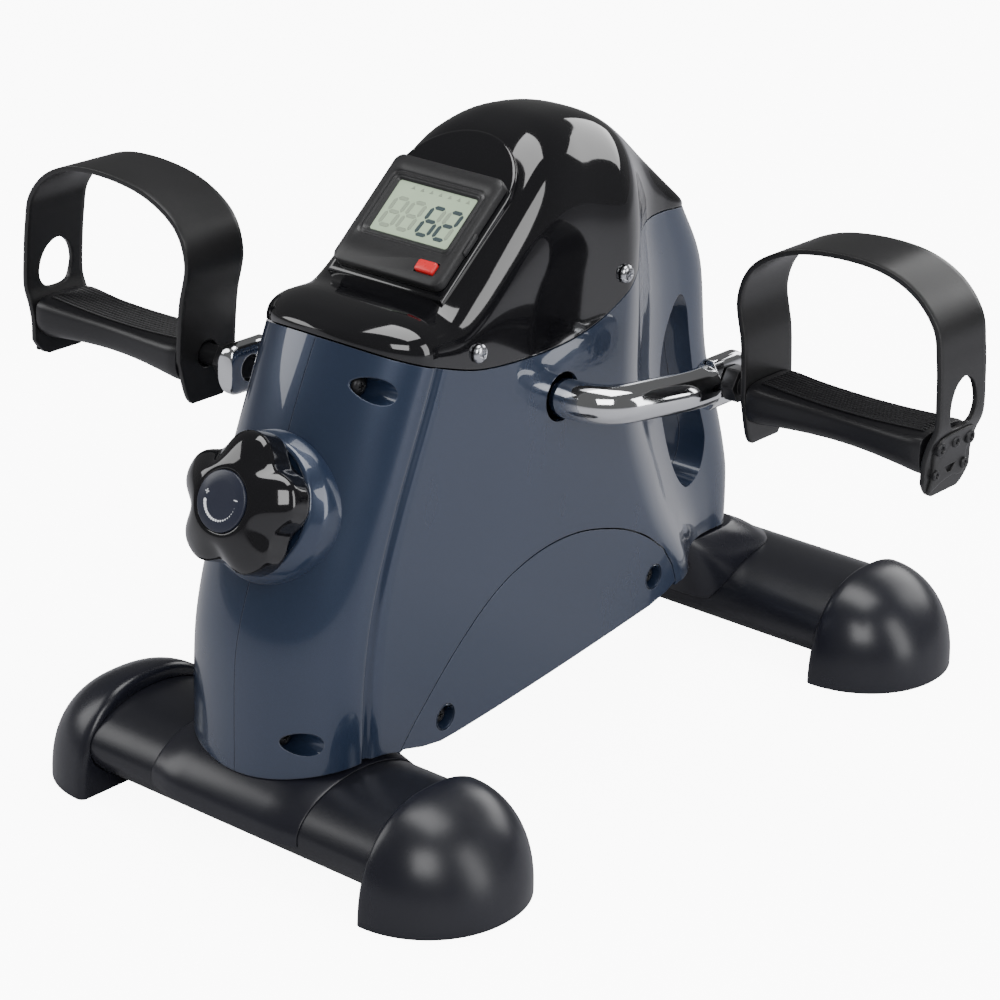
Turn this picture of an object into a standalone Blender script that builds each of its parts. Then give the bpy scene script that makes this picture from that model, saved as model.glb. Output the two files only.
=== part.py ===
"""Pedal exerciser: a floor-standing set of two pedals on a crank, with a housed flywheel and a brake knob.

The user sits at -Y and looks along +Y. +X is the right-hand pedal's side, and +Z is up.
The floor is at z = 0, under the four end caps. Every length below is in millimetres, and
add_mesh turns it into metres.
"""

import math

import bmesh
import bpy
from mathutils import Matrix, Vector

MM = 0.001
GAP = 0.3
X_AXIS = Vector((1.0, 0.0, 0.0))

# Base: two oval tubes across the floor, each with a cap at both ends.
TUBE_Y = 166.0
TUBE_Z = 23.0
TUBE_HALF_WIDTH = 40.0
TUBE_HALF_HEIGHT = 20.0
TUBE_WALL = 2.0
TUBE_HALF_LENGTH = 94.0
CAP_X = 82.5
CAP_LENGTH = 46.0
CAP_HALF_WIDTH = 46.0
CAP_HEIGHT = 50.0
CAP_POWER = 2.4
SADDLE_WALL = 3.4
BEAM_HALF_WIDTH = 14.0
BEAM_FRONT = -174.0
BEAM_REAR = 147.0
BEAM_BOTTOM = TUBE_Z + TUBE_HALF_HEIGHT + GAP
BEAM_TOP = BEAM_BOTTOM + 14.0

# Housing: two shells that meet at x = 0, under a domed hood.
HALF_WIDTH = 46.0
WALL = 2.6
SPLIT = 0.15
GROOVE_DEPTH = 2.4
SEAM_GAP = 0.8

# Drive.
CRANK_Y = -37.0
CRANK_Z = 182.0
CRANK_RADIUS = 9.0
CRANK_THROW = 70.0
PADDLE_X = 83.0
PADDLE_THICK = 9.0
PADDLE_HEIGHT = 24.0
PULLEY_RADIUS = 52.0
FLYWHEEL_RADIUS = 46.0
SMALL_PULLEY_RADIUS = 14.0
BELT_THICK = 1.7
PULLEY_X = -17.0
PULLEY_HALF_WIDTH = 5.0
PLATE_X = 28.0
PLATE_THICK = 3.0

# Knob: its axis leaves the column at KNOB_FOOT and leans up towards the user.
KNOB_FOOT = Vector((0.0, -178.0, 157.0))
KNOB_LEAN = math.radians(20.8)
KNOB_OUT = Vector((0.0, -math.cos(KNOB_LEAN), math.sin(KNOB_LEAN)))
KNOB_LOBES = 5
LOBE_TURN = math.radians(18.0)
LOBE_POWER = 1.6
KNOB_RADIUS = 31.5
FLYWHEEL_DEPTH = 105.0
FLYWHEEL_CENTRE = KNOB_FOOT - KNOB_OUT * FLYWHEEL_DEPTH

# Console: a module on the sloping face of the hood.
CONSOLE_CENTRE = Vector((0.0, -82.5, 261.5))
CONSOLE_SLOPE = math.radians(41.0)
CONSOLE_UP = Vector((0.0, math.cos(CONSOLE_SLOPE), math.sin(CONSOLE_SLOPE)))
CONSOLE_OUT = Vector((0.0, -math.sin(CONSOLE_SLOPE), math.cos(CONSOLE_SLOPE)))
CONSOLE_HALF_X = 31.0
CONSOLE_HALF_UP = 29.5
BUTTON_X = 20.0
BUTTON_UP = -21.5

# Pedals.
PEDAL_X = 155.0
PEDAL_HALF_LENGTH = 46.0
STRAP_WIDTH = 36.0
STRAP_THICK = 2.4


# ---------------------------------------------------------------- scene and meshes


def clear_scene():
    for obj in list(bpy.data.objects):
        bpy.data.objects.remove(obj, do_unlink=True)


def material(name, colour, roughness, metallic=0.0):
    """A Principled material of one colour."""
    made = bpy.data.materials.new(name)
    made.use_nodes = True
    shader = made.node_tree.nodes["Principled BSDF"]
    shader.inputs["Base Color"].default_value = (*colour, 1.0)
    shader.inputs["Roughness"].default_value = roughness
    shader.inputs["Metallic"].default_value = metallic
    return made


def add_mesh(name, points, faces, mat, pivot=(0.0, 0.0, 0.0)):
    """An object with these points, in millimetres, whose origin is at pivot."""
    pivot = Vector(pivot)
    mesh = bpy.data.meshes.new(name)
    mesh.from_pydata([(Vector(p) - pivot) * MM for p in points], [], faces)
    body = bmesh.new()
    body.from_mesh(mesh)
    bmesh.ops.remove_doubles(body, verts=body.verts, dist=0.002 * MM)
    bmesh.ops.recalc_face_normals(body, faces=body.faces)
    body.to_mesh(mesh)
    body.free()
    obj = bpy.data.objects.new(name, mesh)
    obj.location = pivot * MM
    if mat:
        mesh.materials.append(mat)
    bpy.context.scene.collection.objects.link(obj)
    return obj


def boolean(target, other, operation):
    """Cuts other from target, or joins it on, and keeps other out of the render."""
    modifier = target.modifiers.new(operation.title(), "BOOLEAN")
    modifier.operation = operation
    modifier.object = other
    modifier.solver = "EXACT"
    other.hide_render = True
    other.display_type = "WIRE"
    return target


def triangulated(obj):
    """The same object in triangles, which Booleans on the housing's curved walls need."""
    body = bmesh.new()
    body.from_mesh(obj.data)
    bmesh.ops.triangulate(body, faces=body.faces)
    body.to_mesh(obj.data)
    body.free()
    return obj


def cut(target, *cutters):
    for cutter in cutters:
        boolean(target, cutter, "DIFFERENCE")
    return target


def join(target, *others):
    for other in others:
        boolean(target, other, "UNION")
    return target


# ---------------------------------------------------------------- shapes


def loft(name, rings, mat, pivot=(0.0, 0.0, 0.0), loop=False):
    """A solid through rings of equally many points. Both ends are capped unless the rings form a loop."""
    count = len(rings[0])
    points = [p for ring in rings for p in ring]
    faces = []
    for row in range(len(rings) if loop else len(rings) - 1):
        here = row * count
        there = (row + 1) % len(rings) * count
        for i in range(count):
            j = (i + 1) % count
            faces.append((here + i, here + j, there + j, there + i))
    if not loop:
        faces.append(tuple(range(count)))
        faces.append(tuple(range((len(rings) - 1) * count, len(rings) * count)))
    return add_mesh(name, points, faces, mat, pivot)


def across(axis):
    """Two unit vectors square to axis: the first is level."""
    axis = Vector(axis).normalized()
    first = Vector((1.0, 0.0, 0.0)) if abs(axis.x) < 0.9 else Vector((0.0, 1.0, 0.0))
    second = axis.cross(first).normalized()
    return first, second


def turned(name, profile, centre, axis, mat, steps=24, loop=False, pivot=None, lobes=0, depth=0.0):
    """A turned solid. profile lists (radius, distance along axis). Lobes scallop every radius by depth, and the
    first one stands at LOBE_TURN from the level direction."""
    axis = Vector(axis).normalized()
    first, second = across(axis)
    centre = Vector(centre)
    rings = []
    for radius, along in profile:
        ring = []
        for k in range(steps):
            angle = 2 * math.pi * k / steps
            wave = 0.5 - 0.5 * math.cos(lobes * (angle - LOBE_TURN))
            scallop = 1.0 - depth * wave**LOBE_POWER if lobes else 1.0
            out = first * math.cos(angle) + second * math.sin(angle)
            ring.append(centre + axis * along + out * radius * scallop)
        rings.append(ring)
    return loft(name, rings, mat, centre if pivot is None else pivot, loop)


def rod(name, centre, axis, radius, low, high, mat=None, steps=24):
    return turned(name, [(radius, low), (radius, high)], centre, axis, mat, steps)


def washer(name, centre, axis, bore, radius, low, high, mat, steps=24):
    profile = [(bore, low), (radius, low), (radius, high), (bore, high)]
    return turned(name, profile, centre, axis, mat, steps, loop=True)


def prism(name, outline, low, high, mat=None):
    """A plate across X with this outline of (y, z) points."""
    rings = [[(x, y, z) for y, z in outline] for x in (low, high)]
    return loft(name, rings, mat)


def block(name, centre, size, mat=None, turn=None, bevel=0.0):
    """A box of full sizes, turned by a 3 by 3 matrix whose columns are its own axes."""
    body = bmesh.new()
    bmesh.ops.create_cube(body, size=1.0)
    bmesh.ops.scale(body, vec=Vector(size), verts=body.verts)
    if bevel:
        bmesh.ops.bevel(body, geom=body.edges, offset=bevel, segments=2, affect="EDGES", profile=0.5)
    place = Matrix.Translation(Vector(centre)) @ (turn.to_4x4() if turn else Matrix())
    points = [place @ v.co for v in body.verts]
    faces = [tuple(v.index for v in face.verts) for face in body.faces]
    body.free()
    return add_mesh(name, points, faces, mat, centre)


def frame_of(out, up):
    """The turn whose local X, Y, Z lie along world X, up and out."""
    return Matrix((X_AXIS, up, out)).transposed()


def smooth_value(knots, at):
    """A value read off a smooth curve through the (place, value) knots."""
    if at <= knots[0][0]:
        return knots[0][1]
    if at >= knots[-1][0]:
        return knots[-1][1]
    i = max(k for k in range(len(knots) - 1) if knots[k][0] <= at)
    (x0, y0), (x1, y1) = knots[i], knots[i + 1]

    def slope(k):
        low, high = max(k - 1, 0), min(k + 1, len(knots) - 1)
        return (knots[high][1] - knots[low][1]) / (knots[high][0] - knots[low][0])

    step = x1 - x0
    t = (at - x0) / step
    start = (2 * t**3 - 3 * t**2 + 1) * y0 + (t**3 - 2 * t**2 + t) * step * slope(i)
    return start + (-2 * t**3 + 3 * t**2) * y1 + (t**3 - t**2) * step * slope(i + 1)


def smooth_loop(knots, steps):
    """A closed smooth curve through 2-D knots, with this many points between two knots."""
    count = len(knots)
    points = []
    for i in range(count):
        p0, p1, p2, p3 = (Vector(knots[(i + k) % count]) for k in (-1, 0, 1, 2))
        for s in range(steps):
            t = s / steps
            a = 2 * p1 + (p2 - p0) * t
            b = (2 * p0 - 5 * p1 + 4 * p2 - p3) * t**2
            c = (3 * p1 - p0 - 3 * p2 + p3) * t**3
            points.append(tuple((a + b + c) / 2))
    return points


def smooth_path(knots, steps):
    """An open smooth curve through 2-D knots."""
    ends = [tuple(2 * Vector(knots[0]) - Vector(knots[1])), tuple(2 * Vector(knots[-1]) - Vector(knots[-2]))]
    whole = smooth_loop([ends[0], *knots, ends[1]], steps)
    return whole[steps : steps * len(knots) + 1]


def grown(outline, by):
    """The outline pushed out by a distance, or in by a negative one. It runs anticlockwise in y and z."""
    count = len(outline)
    area = sum(
        outline[i][0] * outline[(i + 1) % count][1] - outline[(i + 1) % count][0] * outline[i][1]
        for i in range(count)
    )
    side = 1.0 if area > 0 else -1.0
    made = []
    for i in range(count):
        before, here, after = (Vector(outline[(i + k) % count]) for k in (-1, 0, 1))
        first = (here - before).normalized()
        second = (after - here).normalized()
        normal = Vector((first.y + second.y, -first.x - second.x)).normalized() * side
        lean = max(0.5, abs(Vector((first.y, -first.x)).dot(normal)))
        made.append(tuple(here + normal * by / lean))
    return made


# ---------------------------------------------------------------- housing outline

# The column's front, the groove behind it, the flank's rear crease and the rear of the handle, as y at a height z.
FRONT = [(44, -199), (85, -199), (100, -197.5), (120, -192), (157, -178), (200, -162), (232, -147.5)]
GROOVE = [(44, -164.5), (87, -163.5), (120, -158.5), (157, -146.5), (200, -129), (232, -117)]
CREASE = [(56, 62), (70, 57), (87, 42), (100, 33), (120, 23), (140, 14), (157, 9), (178, 6), (232, 7)]
REAR = [(60, 148), (87, 148.5), (100, 146), (120, 139.5), (157, 125.5), (200, 118), (215, 112), (236, 98)]
# How the half width falls from the crease to the handle, by share of the way.
TAPER = [(0, 1), (0.16, 0.89), (0.3, 0.69), (0.45, 0.505), (0.58, 0.40), (0.72, 0.35), (0.88, 0.335)]
TAPER_END = [(0.96, 0.23), (1.0, 0.0)]
ARC_POINTS = 8
PANEL_STEPS = 7
SEAM = [
    (-152, 227.8),
    (-141, 222.8),
    (-122, 216.5),
    (-95, 209),
    (-62, 206.2),
    (-34, 207),
    (-13, 211),
    (5, 218.5),
    (26, 230),
    (44, 237),
    (70, 238),
    (99, 235.5),
]
SLOT = [
    (88, 193),
    (77, 178),
    (71.5, 158),
    (72, 138),
    (77.5, 118),
    (87, 102),
    (100, 92),
    (113, 96),
    (117, 112),
    (111, 130),
    (104, 150),
    (99, 170),
    (95, 187),
]
ARCH = [(-144, 42), (-130, 58), (-104, 83), (-78, 101.5), (-50, 111), (-21, 112), (9, 105), (30, 95.5), (46, 84)]
HOOD_TOP = [
    (-152, 228.8),
    (-147, 232),
    (-138, 235.8),
    (-126, 238),
    (-112, 238),
    (-105, 241),
    (-80, 263),
    (-50, 289),
    (-38, 297),
    (-18, 302.5),
    (11, 298.5),
    (41, 283),
    (70, 261),
    (90, 243.5),
    (99, 236.4),
]
HOOD_POWER = [(-156, 2.2), (-110, 3.6), (-60, 4.2), (-10, 2.9), (40, 2.5), (99, 2.2)]


def tube_top(y, tube_y, grow):
    """The height of an oval tube's upper side at y, with its section grown all round."""
    share = (y - tube_y) / (TUBE_HALF_WIDTH + grow)
    return TUBE_Z + (TUBE_HALF_HEIGHT + grow) * math.sqrt(max(0.0, 1.0 - share**2))


def base_height(y):
    """The housing's lower edge: over the front saddle, then rising towards the handle."""
    over = tube_top(y, -TUBE_Y, SADDLE_WALL + GAP) + GAP
    if y < -136.0:
        return over
    low = [(-136, tube_top(-136, -TUBE_Y, SADDLE_WALL + GAP) + GAP), (-110, 38), (42, 56), (60, 62), (148, 60)]
    return smooth_value(low, y)


def section(z, inset):
    """Half of the housing's outline at height z, as (x, y) from the front round to the rear."""
    front = smooth_value(FRONT, z) + inset
    groove = smooth_value(GROOVE, z)
    crease = smooth_value(CREASE, z)
    rear = smooth_value(REAR, z) - inset
    wide = HALF_WIDTH - inset
    points = []
    reach = groove - 3.0 - front
    for k in range(ARC_POINTS):
        angle = math.pi / 2 * k / (ARC_POINTS - 1)
        points.append((wide * math.sin(angle), front + reach * (1.0 - math.cos(angle))))
    points.append((wide - GROOVE_DEPTH, groove - 0.8))
    points.append((wide - GROOVE_DEPTH, groove + 0.8))
    points.append((wide, groove + 3.0))
    for k in range(1, PANEL_STEPS):
        points.append((wide, groove + 3.0 + (crease - groove - 3.0) * k / PANEL_STEPS))
    for share, width in TAPER + TAPER_END:
        half = HALF_WIDTH * width
        half = half - inset if share < 0.9 else half * (1.0 - inset / 15.0)
        points.append((half, crease + (rear - crease) * share))
    return points


def housing_rows(inset, drop, rise, rows):
    """The housing's right side as rows of points from the lower edge to the seam."""
    count = len(section(100.0, inset))
    grid = []
    for j in range(rows + 1):
        row = []
        for i in range(count):
            z = 120.0
            for _ in range(12):
                x, y = section(z, inset)[i]
                low = base_height(y) - drop
                z = low + (smooth_value(SEAM, y) + rise - low) * j / rows
            row.append((x, y, z))
        grid.append(row)
    return grid


def side_solid(name, side, inset, cut_x, drop=0.0, rise=0.0, rows=6):
    """One side of the housing's outer form as a closed solid, from x = cut_x out to its surface."""
    grid = housing_rows(inset, drop, rise, rows)
    rows, count = len(grid), len(grid[0])
    points = [(side * max(x, cut_x), y, z) for row in grid for x, y, z in row]
    faces = []
    for j in range(rows - 1):
        for i in range(count - 1):
            a, b = j * count + i, j * count + i + 1
            faces.append((a, b, b + count, a + count))
    rim = list(range(count))
    rim += [j * count + count - 1 for j in range(1, rows)]
    rim += [(rows - 1) * count + i for i in range(count - 2, -1, -1)]
    rim += [j * count for j in range(rows - 2, 0, -1)]
    first = len(points)
    points += [(side * cut_x, points[k][1], points[k][2]) for k in rim]
    for k in range(len(rim)):
        after = (k + 1) % len(rim)
        faces.append((rim[k], rim[after], first + after, first + k))
    faces.append(tuple(range(first, first + len(rim))))
    return add_mesh(name, points, faces, None)


# ---------------------------------------------------------------- screws

# Each screw: its place on the right side as (y, z), and how far out its seat lies from x = 0.
COLUMN_SCREWS = {"upper": (-148.0, 210.0, 22.0), "lower": (-189.5, 59.5, 19.0)}
COVER_SCREWS = {"front": (-112.0, 50.0), "rear": (39.0, 71.0)}
HOOD_SCREWS = {"front": (-97.0, 217.5), "rear": (5.0, 230.0)}


def screw(name, y, z, seat, side, length, mat):
    """A pan-head screw that lies along X with its head outwards."""
    profile = [(2.0, -length), (2.0, 0.0), (4.3, 0.0), (4.3, 1.4), (2.6, 2.9)]
    return turned(name, profile, (side * seat, y, z), (side, 0, 0), mat, steps=10)


# ---------------------------------------------------------------- sub-parts


def base(mats):
    """Floor tubes, end caps, saddles and the beam that ties the tubes."""
    for tag, y in (("front", -TUBE_Y), ("rear", TUBE_Y)):
        rings = []
        for x, shrink in ((-1, 0), (1, 0), (1, TUBE_WALL), (-1, TUBE_WALL)):
            rings.append(oval(x * TUBE_HALF_LENGTH, y, -shrink, 28))
        loft(f"tube_{tag}", rings, mats["black_paint"], (0, y, TUBE_Z), loop=True)
        for side_tag, side in (("left", -1), ("right", 1)):
            end_cap(f"cap_{tag}_{side_tag}", side, y, mats["black_plastic"])
    centre = Vector((0, (BEAM_FRONT + BEAM_REAR) / 2, (BEAM_BOTTOM + BEAM_TOP) / 2))
    size = Vector((2 * BEAM_HALF_WIDTH, BEAM_REAR - BEAM_FRONT, BEAM_TOP - BEAM_BOTTOM))
    block("frame_beam", centre, size, mats["frame_steel"])
    beam_space = block("beam_space", centre, size + Vector((1, 1, 1)) * 2 * GAP)
    front = saddle("saddle_front", -TUBE_Y, 44.0, mats["black_plastic"])
    cut(front, beam_space)
    rear_saddle(mats["black_plastic"], beam_space)


def oval(x, y, grow, count):
    """A ring round the oval tube's section."""
    ring = []
    for k in range(count):
        angle = 2 * math.pi * k / count
        across_y = y + (TUBE_HALF_WIDTH + grow) * math.cos(angle)
        ring.append((x, across_y, TUBE_Z + (TUBE_HALF_HEIGHT + grow) * math.sin(angle)))
    return ring


def end_cap(name, side, y, mat):
    """A domed boot with a flat sole, which the tube's end goes into."""
    stations = [(0.0, 0.955), (2.4, 1.0)]
    for k in range(1, 7):
        angle = math.pi / 2 * k / 6.5
        stations.append((2.4 + (CAP_LENGTH - 2.4) * math.sin(angle), math.cos(angle) ** 0.95))
    rings = []
    for out, scale in stations:
        ring = []
        for k in range(15):
            angle = math.pi * k / 14
            wide = math.copysign(abs(math.cos(angle)) ** (2 / CAP_POWER), math.cos(angle))
            tall = math.sin(angle) ** (2 / CAP_POWER) if 0 < k < 14 else 0.0
            ring.append((side * (CAP_X + out), y + CAP_HALF_WIDTH * scale * wide, CAP_HEIGHT * scale * tall))
        rings.append(ring)
    cap = loft(name, rings, mat, (side * CAP_X, y, 0))
    socket = [oval(side * x, y, GAP, 28) for x in (CAP_X - 5, TUBE_HALF_LENGTH + GAP)]
    return cut(cap, loft(f"{name}_socket", socket, None))


def saddle(name, y, half_length, mat):
    """A cover that wraps over the tube under the column and flares at both ends."""
    stations = [(-1.0, 0.9), (-0.93, SADDLE_WALL), (0.93, SADDLE_WALL), (1.0, 0.9)]
    outer = []
    inner = []
    for share, wall in stations:
        x = half_length * share
        outer.append([(x, a, b) for a, b in saddle_arc(y, GAP + wall)])
        inner.append([(x, a, b) for a, b in saddle_arc(y, GAP)])
    rings = [outer[k] + inner[k][::-1] for k in range(len(stations))]
    return loft(name, rings, mat, (0, y, TUBE_Z))


def saddle_arc(y, grow):
    points = []
    for k in range(19):
        angle = math.radians(-8 + 196 * k / 18)
        across_y = y + (TUBE_HALF_WIDTH + grow) * math.cos(angle)
        points.append((across_y, TUBE_Z + (TUBE_HALF_HEIGHT + grow) * math.sin(angle)))
    return points


def rear_saddle(mat, beam_space):
    """A block between the rear tube and the foot of the handle."""
    top = 59.2
    rings = []
    for z, wide, low_y, high_y in ((24, 26, 122, 190), (45, 24, 110, 178), (top, 17, 102, 152)):
        rings.append(rounded_box(wide, low_y, high_y, z))
    made = loft("saddle_rear", rings, mat, (0, TUBE_Y, TUBE_Z))
    tube_space = loft("rear_tube_space", [oval(x, TUBE_Y, GAP, 28) for x in (-60, 60)], None)
    return cut(made, tube_space, beam_space)


def rounded_box(half_x, low_y, high_y, z, power=3.2, count=28):
    mid, half_y = (low_y + high_y) / 2, (high_y - low_y) / 2
    ring = []
    for k in range(count):
        angle = 2 * math.pi * k / count
        c, s = math.cos(angle), math.sin(angle)
        x = half_x * math.copysign(abs(c) ** (2 / power), c)
        ring.append((x, mid + half_y * math.copysign(abs(s) ** (2 / power), s), z))
    return ring


def inner_frame(mats):
    """Two plates on spacers that carry the crank bearings, the flywheel's axle and the brake."""
    outline = [
        (-150, 58.2),
        (-172, 88),
        (-166, 140),
        (-150, 168),
        (-62, 196),
        (-54, 207),
        (-20, 207),
        (-10, 190),
        (6, 140),
        (40, 84),
        (44, 58.2),
    ]
    for tag, side in (("left", -1), ("right", 1)):
        low, high = sorted((side * PLATE_X, side * (PLATE_X + PLATE_THICK)))
        plate = prism(f"frame_plate_{tag}", outline, low, high, mats["frame_steel"])
        bearing = rod(f"bearing_hole_{tag}", (0, CRANK_Y, CRANK_Z), X_AXIS, 15.3, low - 5, high + 5)
        axle = rod(f"axle_hole_{tag}", FLYWHEEL_CENTRE, X_AXIS, 5.3, low - 5, high + 5)
        cut(plate, bearing, axle)
        washer(
            f"crank_bearing_{tag}",
            (side * (PLATE_X + PLATE_THICK / 2), CRANK_Y, CRANK_Z),
            X_AXIS,
            CRANK_RADIUS + 0.35,
            15.0,
            -4.0,
            4.0,
            mats["steel"],
        )
    for tag, y in (("front", -142.0), ("rear", 34.0)):
        block(f"frame_spacer_{tag}", (0, y, 63.5), (2 * PLATE_X - 2 * GAP, 16, 10.8), mats["frame_steel"])
    rod("flywheel_axle", FLYWHEEL_CENTRE, X_AXIS, 5.0, -33.0, 33.0, mats["steel"])
    turn = frame_of(KNOB_OUT, X_AXIS.cross(KNOB_OUT) * -1)
    bracket = block(
        "tension_bracket", KNOB_FOOT - KNOB_OUT * 24.0, (2 * PLATE_X - 2 * GAP, 26, 4), mats["frame_steel"], turn
    )
    cut(bracket, rod("tension_bracket_hole", KNOB_FOOT, KNOB_OUT, 4.5, -40, 0))
    block(
        "speed_sensor", (-PLATE_X + 1.6, CRANK_Y, CRANK_Z - 42.0), (2.4, 9, 15), mats["black_plastic"], bevel=0.5
    )


def drive(mats):
    """The crank with its pulley, the flywheel with its own, and the belt round both."""
    crank(mats["chrome"])
    centre = Vector((PULLEY_X, CRANK_Y, CRANK_Z))
    pulley("drive_pulley", centre, PULLEY_RADIUS, CRANK_RADIUS + GAP, mats["grey_plastic"], 36)
    turned(
        "speed_magnet",
        [(4.0, 0.0), (4.0, 1.6)],
        (PULLEY_X - PULLEY_HALF_WIDTH - GAP, CRANK_Y, CRANK_Z - 42.0),
        (-1, 0, 0),
        mats["steel"],
        12,
        pivot=centre,
    )
    small = Vector((PULLEY_X, FLYWHEEL_CENTRE.y, FLYWHEEL_CENTRE.z))
    pulley("flywheel_pulley", small, SMALL_PULLEY_RADIUS, 5.35, mats["grey_plastic"], 24)
    profile = [(5.35, -11.4), (9.0, -9.0), (36, -5), (37, -9), (FLYWHEEL_RADIUS, -9)]
    profile += [(radius, -along) for radius, along in profile[::-1]]
    turned("flywheel", profile, FLYWHEEL_CENTRE, X_AXIS, mats["cast_iron"], 36, loop=True)
    belt(centre, small, mats["rubber"])


def pulley(name, centre, radius, bore, mat, steps):
    """A pulley with a flange on each side of its groove."""
    half = PULLEY_HALF_WIDTH
    profile = [(bore, -half), (radius + 2.5, -half), (radius + 2.5, 1.0 - half), (radius, 1.0 - half)]
    profile += [(distance, -along) for distance, along in profile[::-1]]
    return turned(name, profile, centre, X_AXIS, mat, steps, loop=True)


def belt(big, small, mat):
    """A closed belt that lies in both pulleys' grooves."""
    gap_y, gap_z = small.y - big.y, small.z - big.z
    reach = math.hypot(gap_y, gap_z)
    heading = math.atan2(gap_z, gap_y)
    spread = math.acos((PULLEY_RADIUS - SMALL_PULLEY_RADIUS) / reach)
    rings = []
    for grow, x in ((0.35, -3.2), (0.35 + BELT_THICK, -3.2), (0.35 + BELT_THICK, 3.2), (0.35, 3.2)):
        ring = []
        for k in range(33):
            angle = heading + spread + (2 * math.pi - 2 * spread) * k / 32
            ring.append(around(big, PULLEY_RADIUS + grow, angle, x))
        for k in range(13):
            angle = heading - spread + 2 * spread * k / 12
            ring.append(around(small, SMALL_PULLEY_RADIUS + grow, angle, x))
        rings.append(ring)
    return loft("drive_belt", rings, mat, big, loop=True)


def around(centre, radius, angle, x):
    return (centre.x + x, centre.y + radius * math.cos(angle), centre.z + radius * math.sin(angle))


def crank(mat):
    """One bent tube with a flattened end on each side, and its two spindle holes."""
    half = crank_path()
    path = [(-x, 2 * CRANK_Y - y, flat, tall) for x, y, flat, tall in half[::-1]] + half
    rings = []
    count = 14
    for i, (x, y, flat, tip) in enumerate(path):
        before, after = path[max(i - 1, 0)], path[min(i + 1, len(path) - 1)]
        way = Vector((after[0] - before[0], after[1] - before[1], 0.0)).normalized()
        across_way = Vector((way.y, -way.x, 0.0))
        wide = CRANK_RADIUS + (PADDLE_THICK / 2 - CRANK_RADIUS) * flat
        tall = (CRANK_RADIUS + (PADDLE_HEIGHT / 2 - CRANK_RADIUS) * flat) * tip
        power = 2 / (2.0 + 1.6 * flat)
        ring = []
        for k in range(count):
            angle = 2 * math.pi * (k + 0.5) / count
            c, s = math.cos(angle), math.sin(angle)
            side = wide * math.copysign(abs(c) ** power, c)
            rise = tall * math.copysign(abs(s) ** power, s)
            ring.append(Vector((x, y, CRANK_Z + rise)) + across_way * side)
        rings.append(ring)
    made = loft("crank", rings, mat, (0, CRANK_Y, CRANK_Z))
    for side in (-1, 1):
        hole = rod("crank_hole", pedal_axis(side) + X_AXIS * side * PADDLE_X, X_AXIS, 6.4, -12, 12, steps=20)
        cut(made, hole)
    return made


def crank_path():
    """The right half of the crank's centre line, as (x, y, how flat the tube is, how tall its tip is)."""
    corner, bend = Vector((68.0, CRANK_Y)), Vector((PADDLE_X, CRANK_Y + 48.0))
    end = Vector((PADDLE_X, CRANK_Y + CRANK_THROW + 12.5))
    start = Vector((0.0, CRANK_Y))
    path = [(6.0, CRANK_Y, 0.0, 1.0)]
    path += [(x, y, 0.0, 1.0) for x, y in rounded_corner(start, corner, bend, 17.0, 5)]
    path += [(x, y, 0.0, 1.0) for x, y in rounded_corner(corner, bend, end, 9.0, 3)]
    path += [(PADDLE_X, end.y - 26.0, 1.0, 1.0), (PADDLE_X, end.y - 6.0, 1.0, 1.0)]
    return path + [(PADDLE_X, end.y - 1.5, 1.0, 0.86), (PADDLE_X, end.y, 1.0, 0.62)]


def rounded_corner(before, corner, after, reach, steps):
    """Points of a quadratic bend that starts and ends at this reach from the corner."""
    first = corner + (before - corner).normalized() * reach
    last = corner + (after - corner).normalized() * reach
    shares = [k / steps for k in range(steps + 1)]
    return [tuple(first * (1 - t) ** 2 + corner * 2 * t * (1 - t) + last * t**2) for t in shares]


def pedal_axis(side):
    return Vector((0.0, CRANK_Y + side * CRANK_THROW, CRANK_Z))


def pedal(tag, side, mats):
    """One pedal: spindle, body, foot strap, outer plate and its retaining nut."""
    axis = pedal_axis(side)
    out = Vector((side, 0, 0))
    inner, outer = PEDAL_X - PEDAL_HALF_LENGTH, PEDAL_X + PEDAL_HALF_LENGTH
    spindle = [(6.0, 79.5), (6.0, 88.0), (8.5, 88.0), (8.5, 95.0), (5.0, 95.0), (5.0, outer - 3.0)]
    turned(f"pedal_spindle_{tag}", spindle, axis, out, mats["steel"], 20)
    rings = []
    for k in range(9):
        x = inner + (outer - inner) * k / 8
        rings.append([(side * x, axis.y + y, axis.z + z) for y, z in pedal_section((k - 4) / 4)])
    body = loft(f"pedal_body_{tag}", rings, mats["black_plastic"], axis + out * PEDAL_X)
    cut(body, rod(f"pedal_bore_{tag}", axis, out, 5.4, inner - 5, outer - 1.5))
    strap(tag, side, axis, mats["strap_plastic"])
    plate = [(14.0, -15.0), (14.0, -4.0), (-14.0, -4.0), (-14.0, -15.0)]
    outline = smooth_loop([(axis.y + y, axis.z + z) for y, z in plate], 5)
    face = sorted((side * (outer + 4.0), side * (outer + 5.6)))
    prism(f"pedal_plate_{tag}", outline, *face, mats["black_plastic"])


def pedal_section(share):
    """The pedal's section: flat on top, round below, and waisted half way along."""
    waist = 1.0 - 0.17 * math.cos(share * math.pi / 2) ** 1.5
    half = 19.0 * waist
    top, bottom = 8.6 - 2.2 * (1 - share**2), -13.0 + 3.4 * (1 - share**2)
    points = []
    for k in range(20):
        angle = 2 * math.pi * (k + 0.5) / 20
        c, s = math.cos(angle), math.sin(angle)
        y = half * math.copysign(abs(c) ** 0.62, c)
        z = top * abs(s) ** 0.45 if s > 0 else bottom * abs(s) ** 0.8
        points.append((y, z))
    return points


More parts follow.
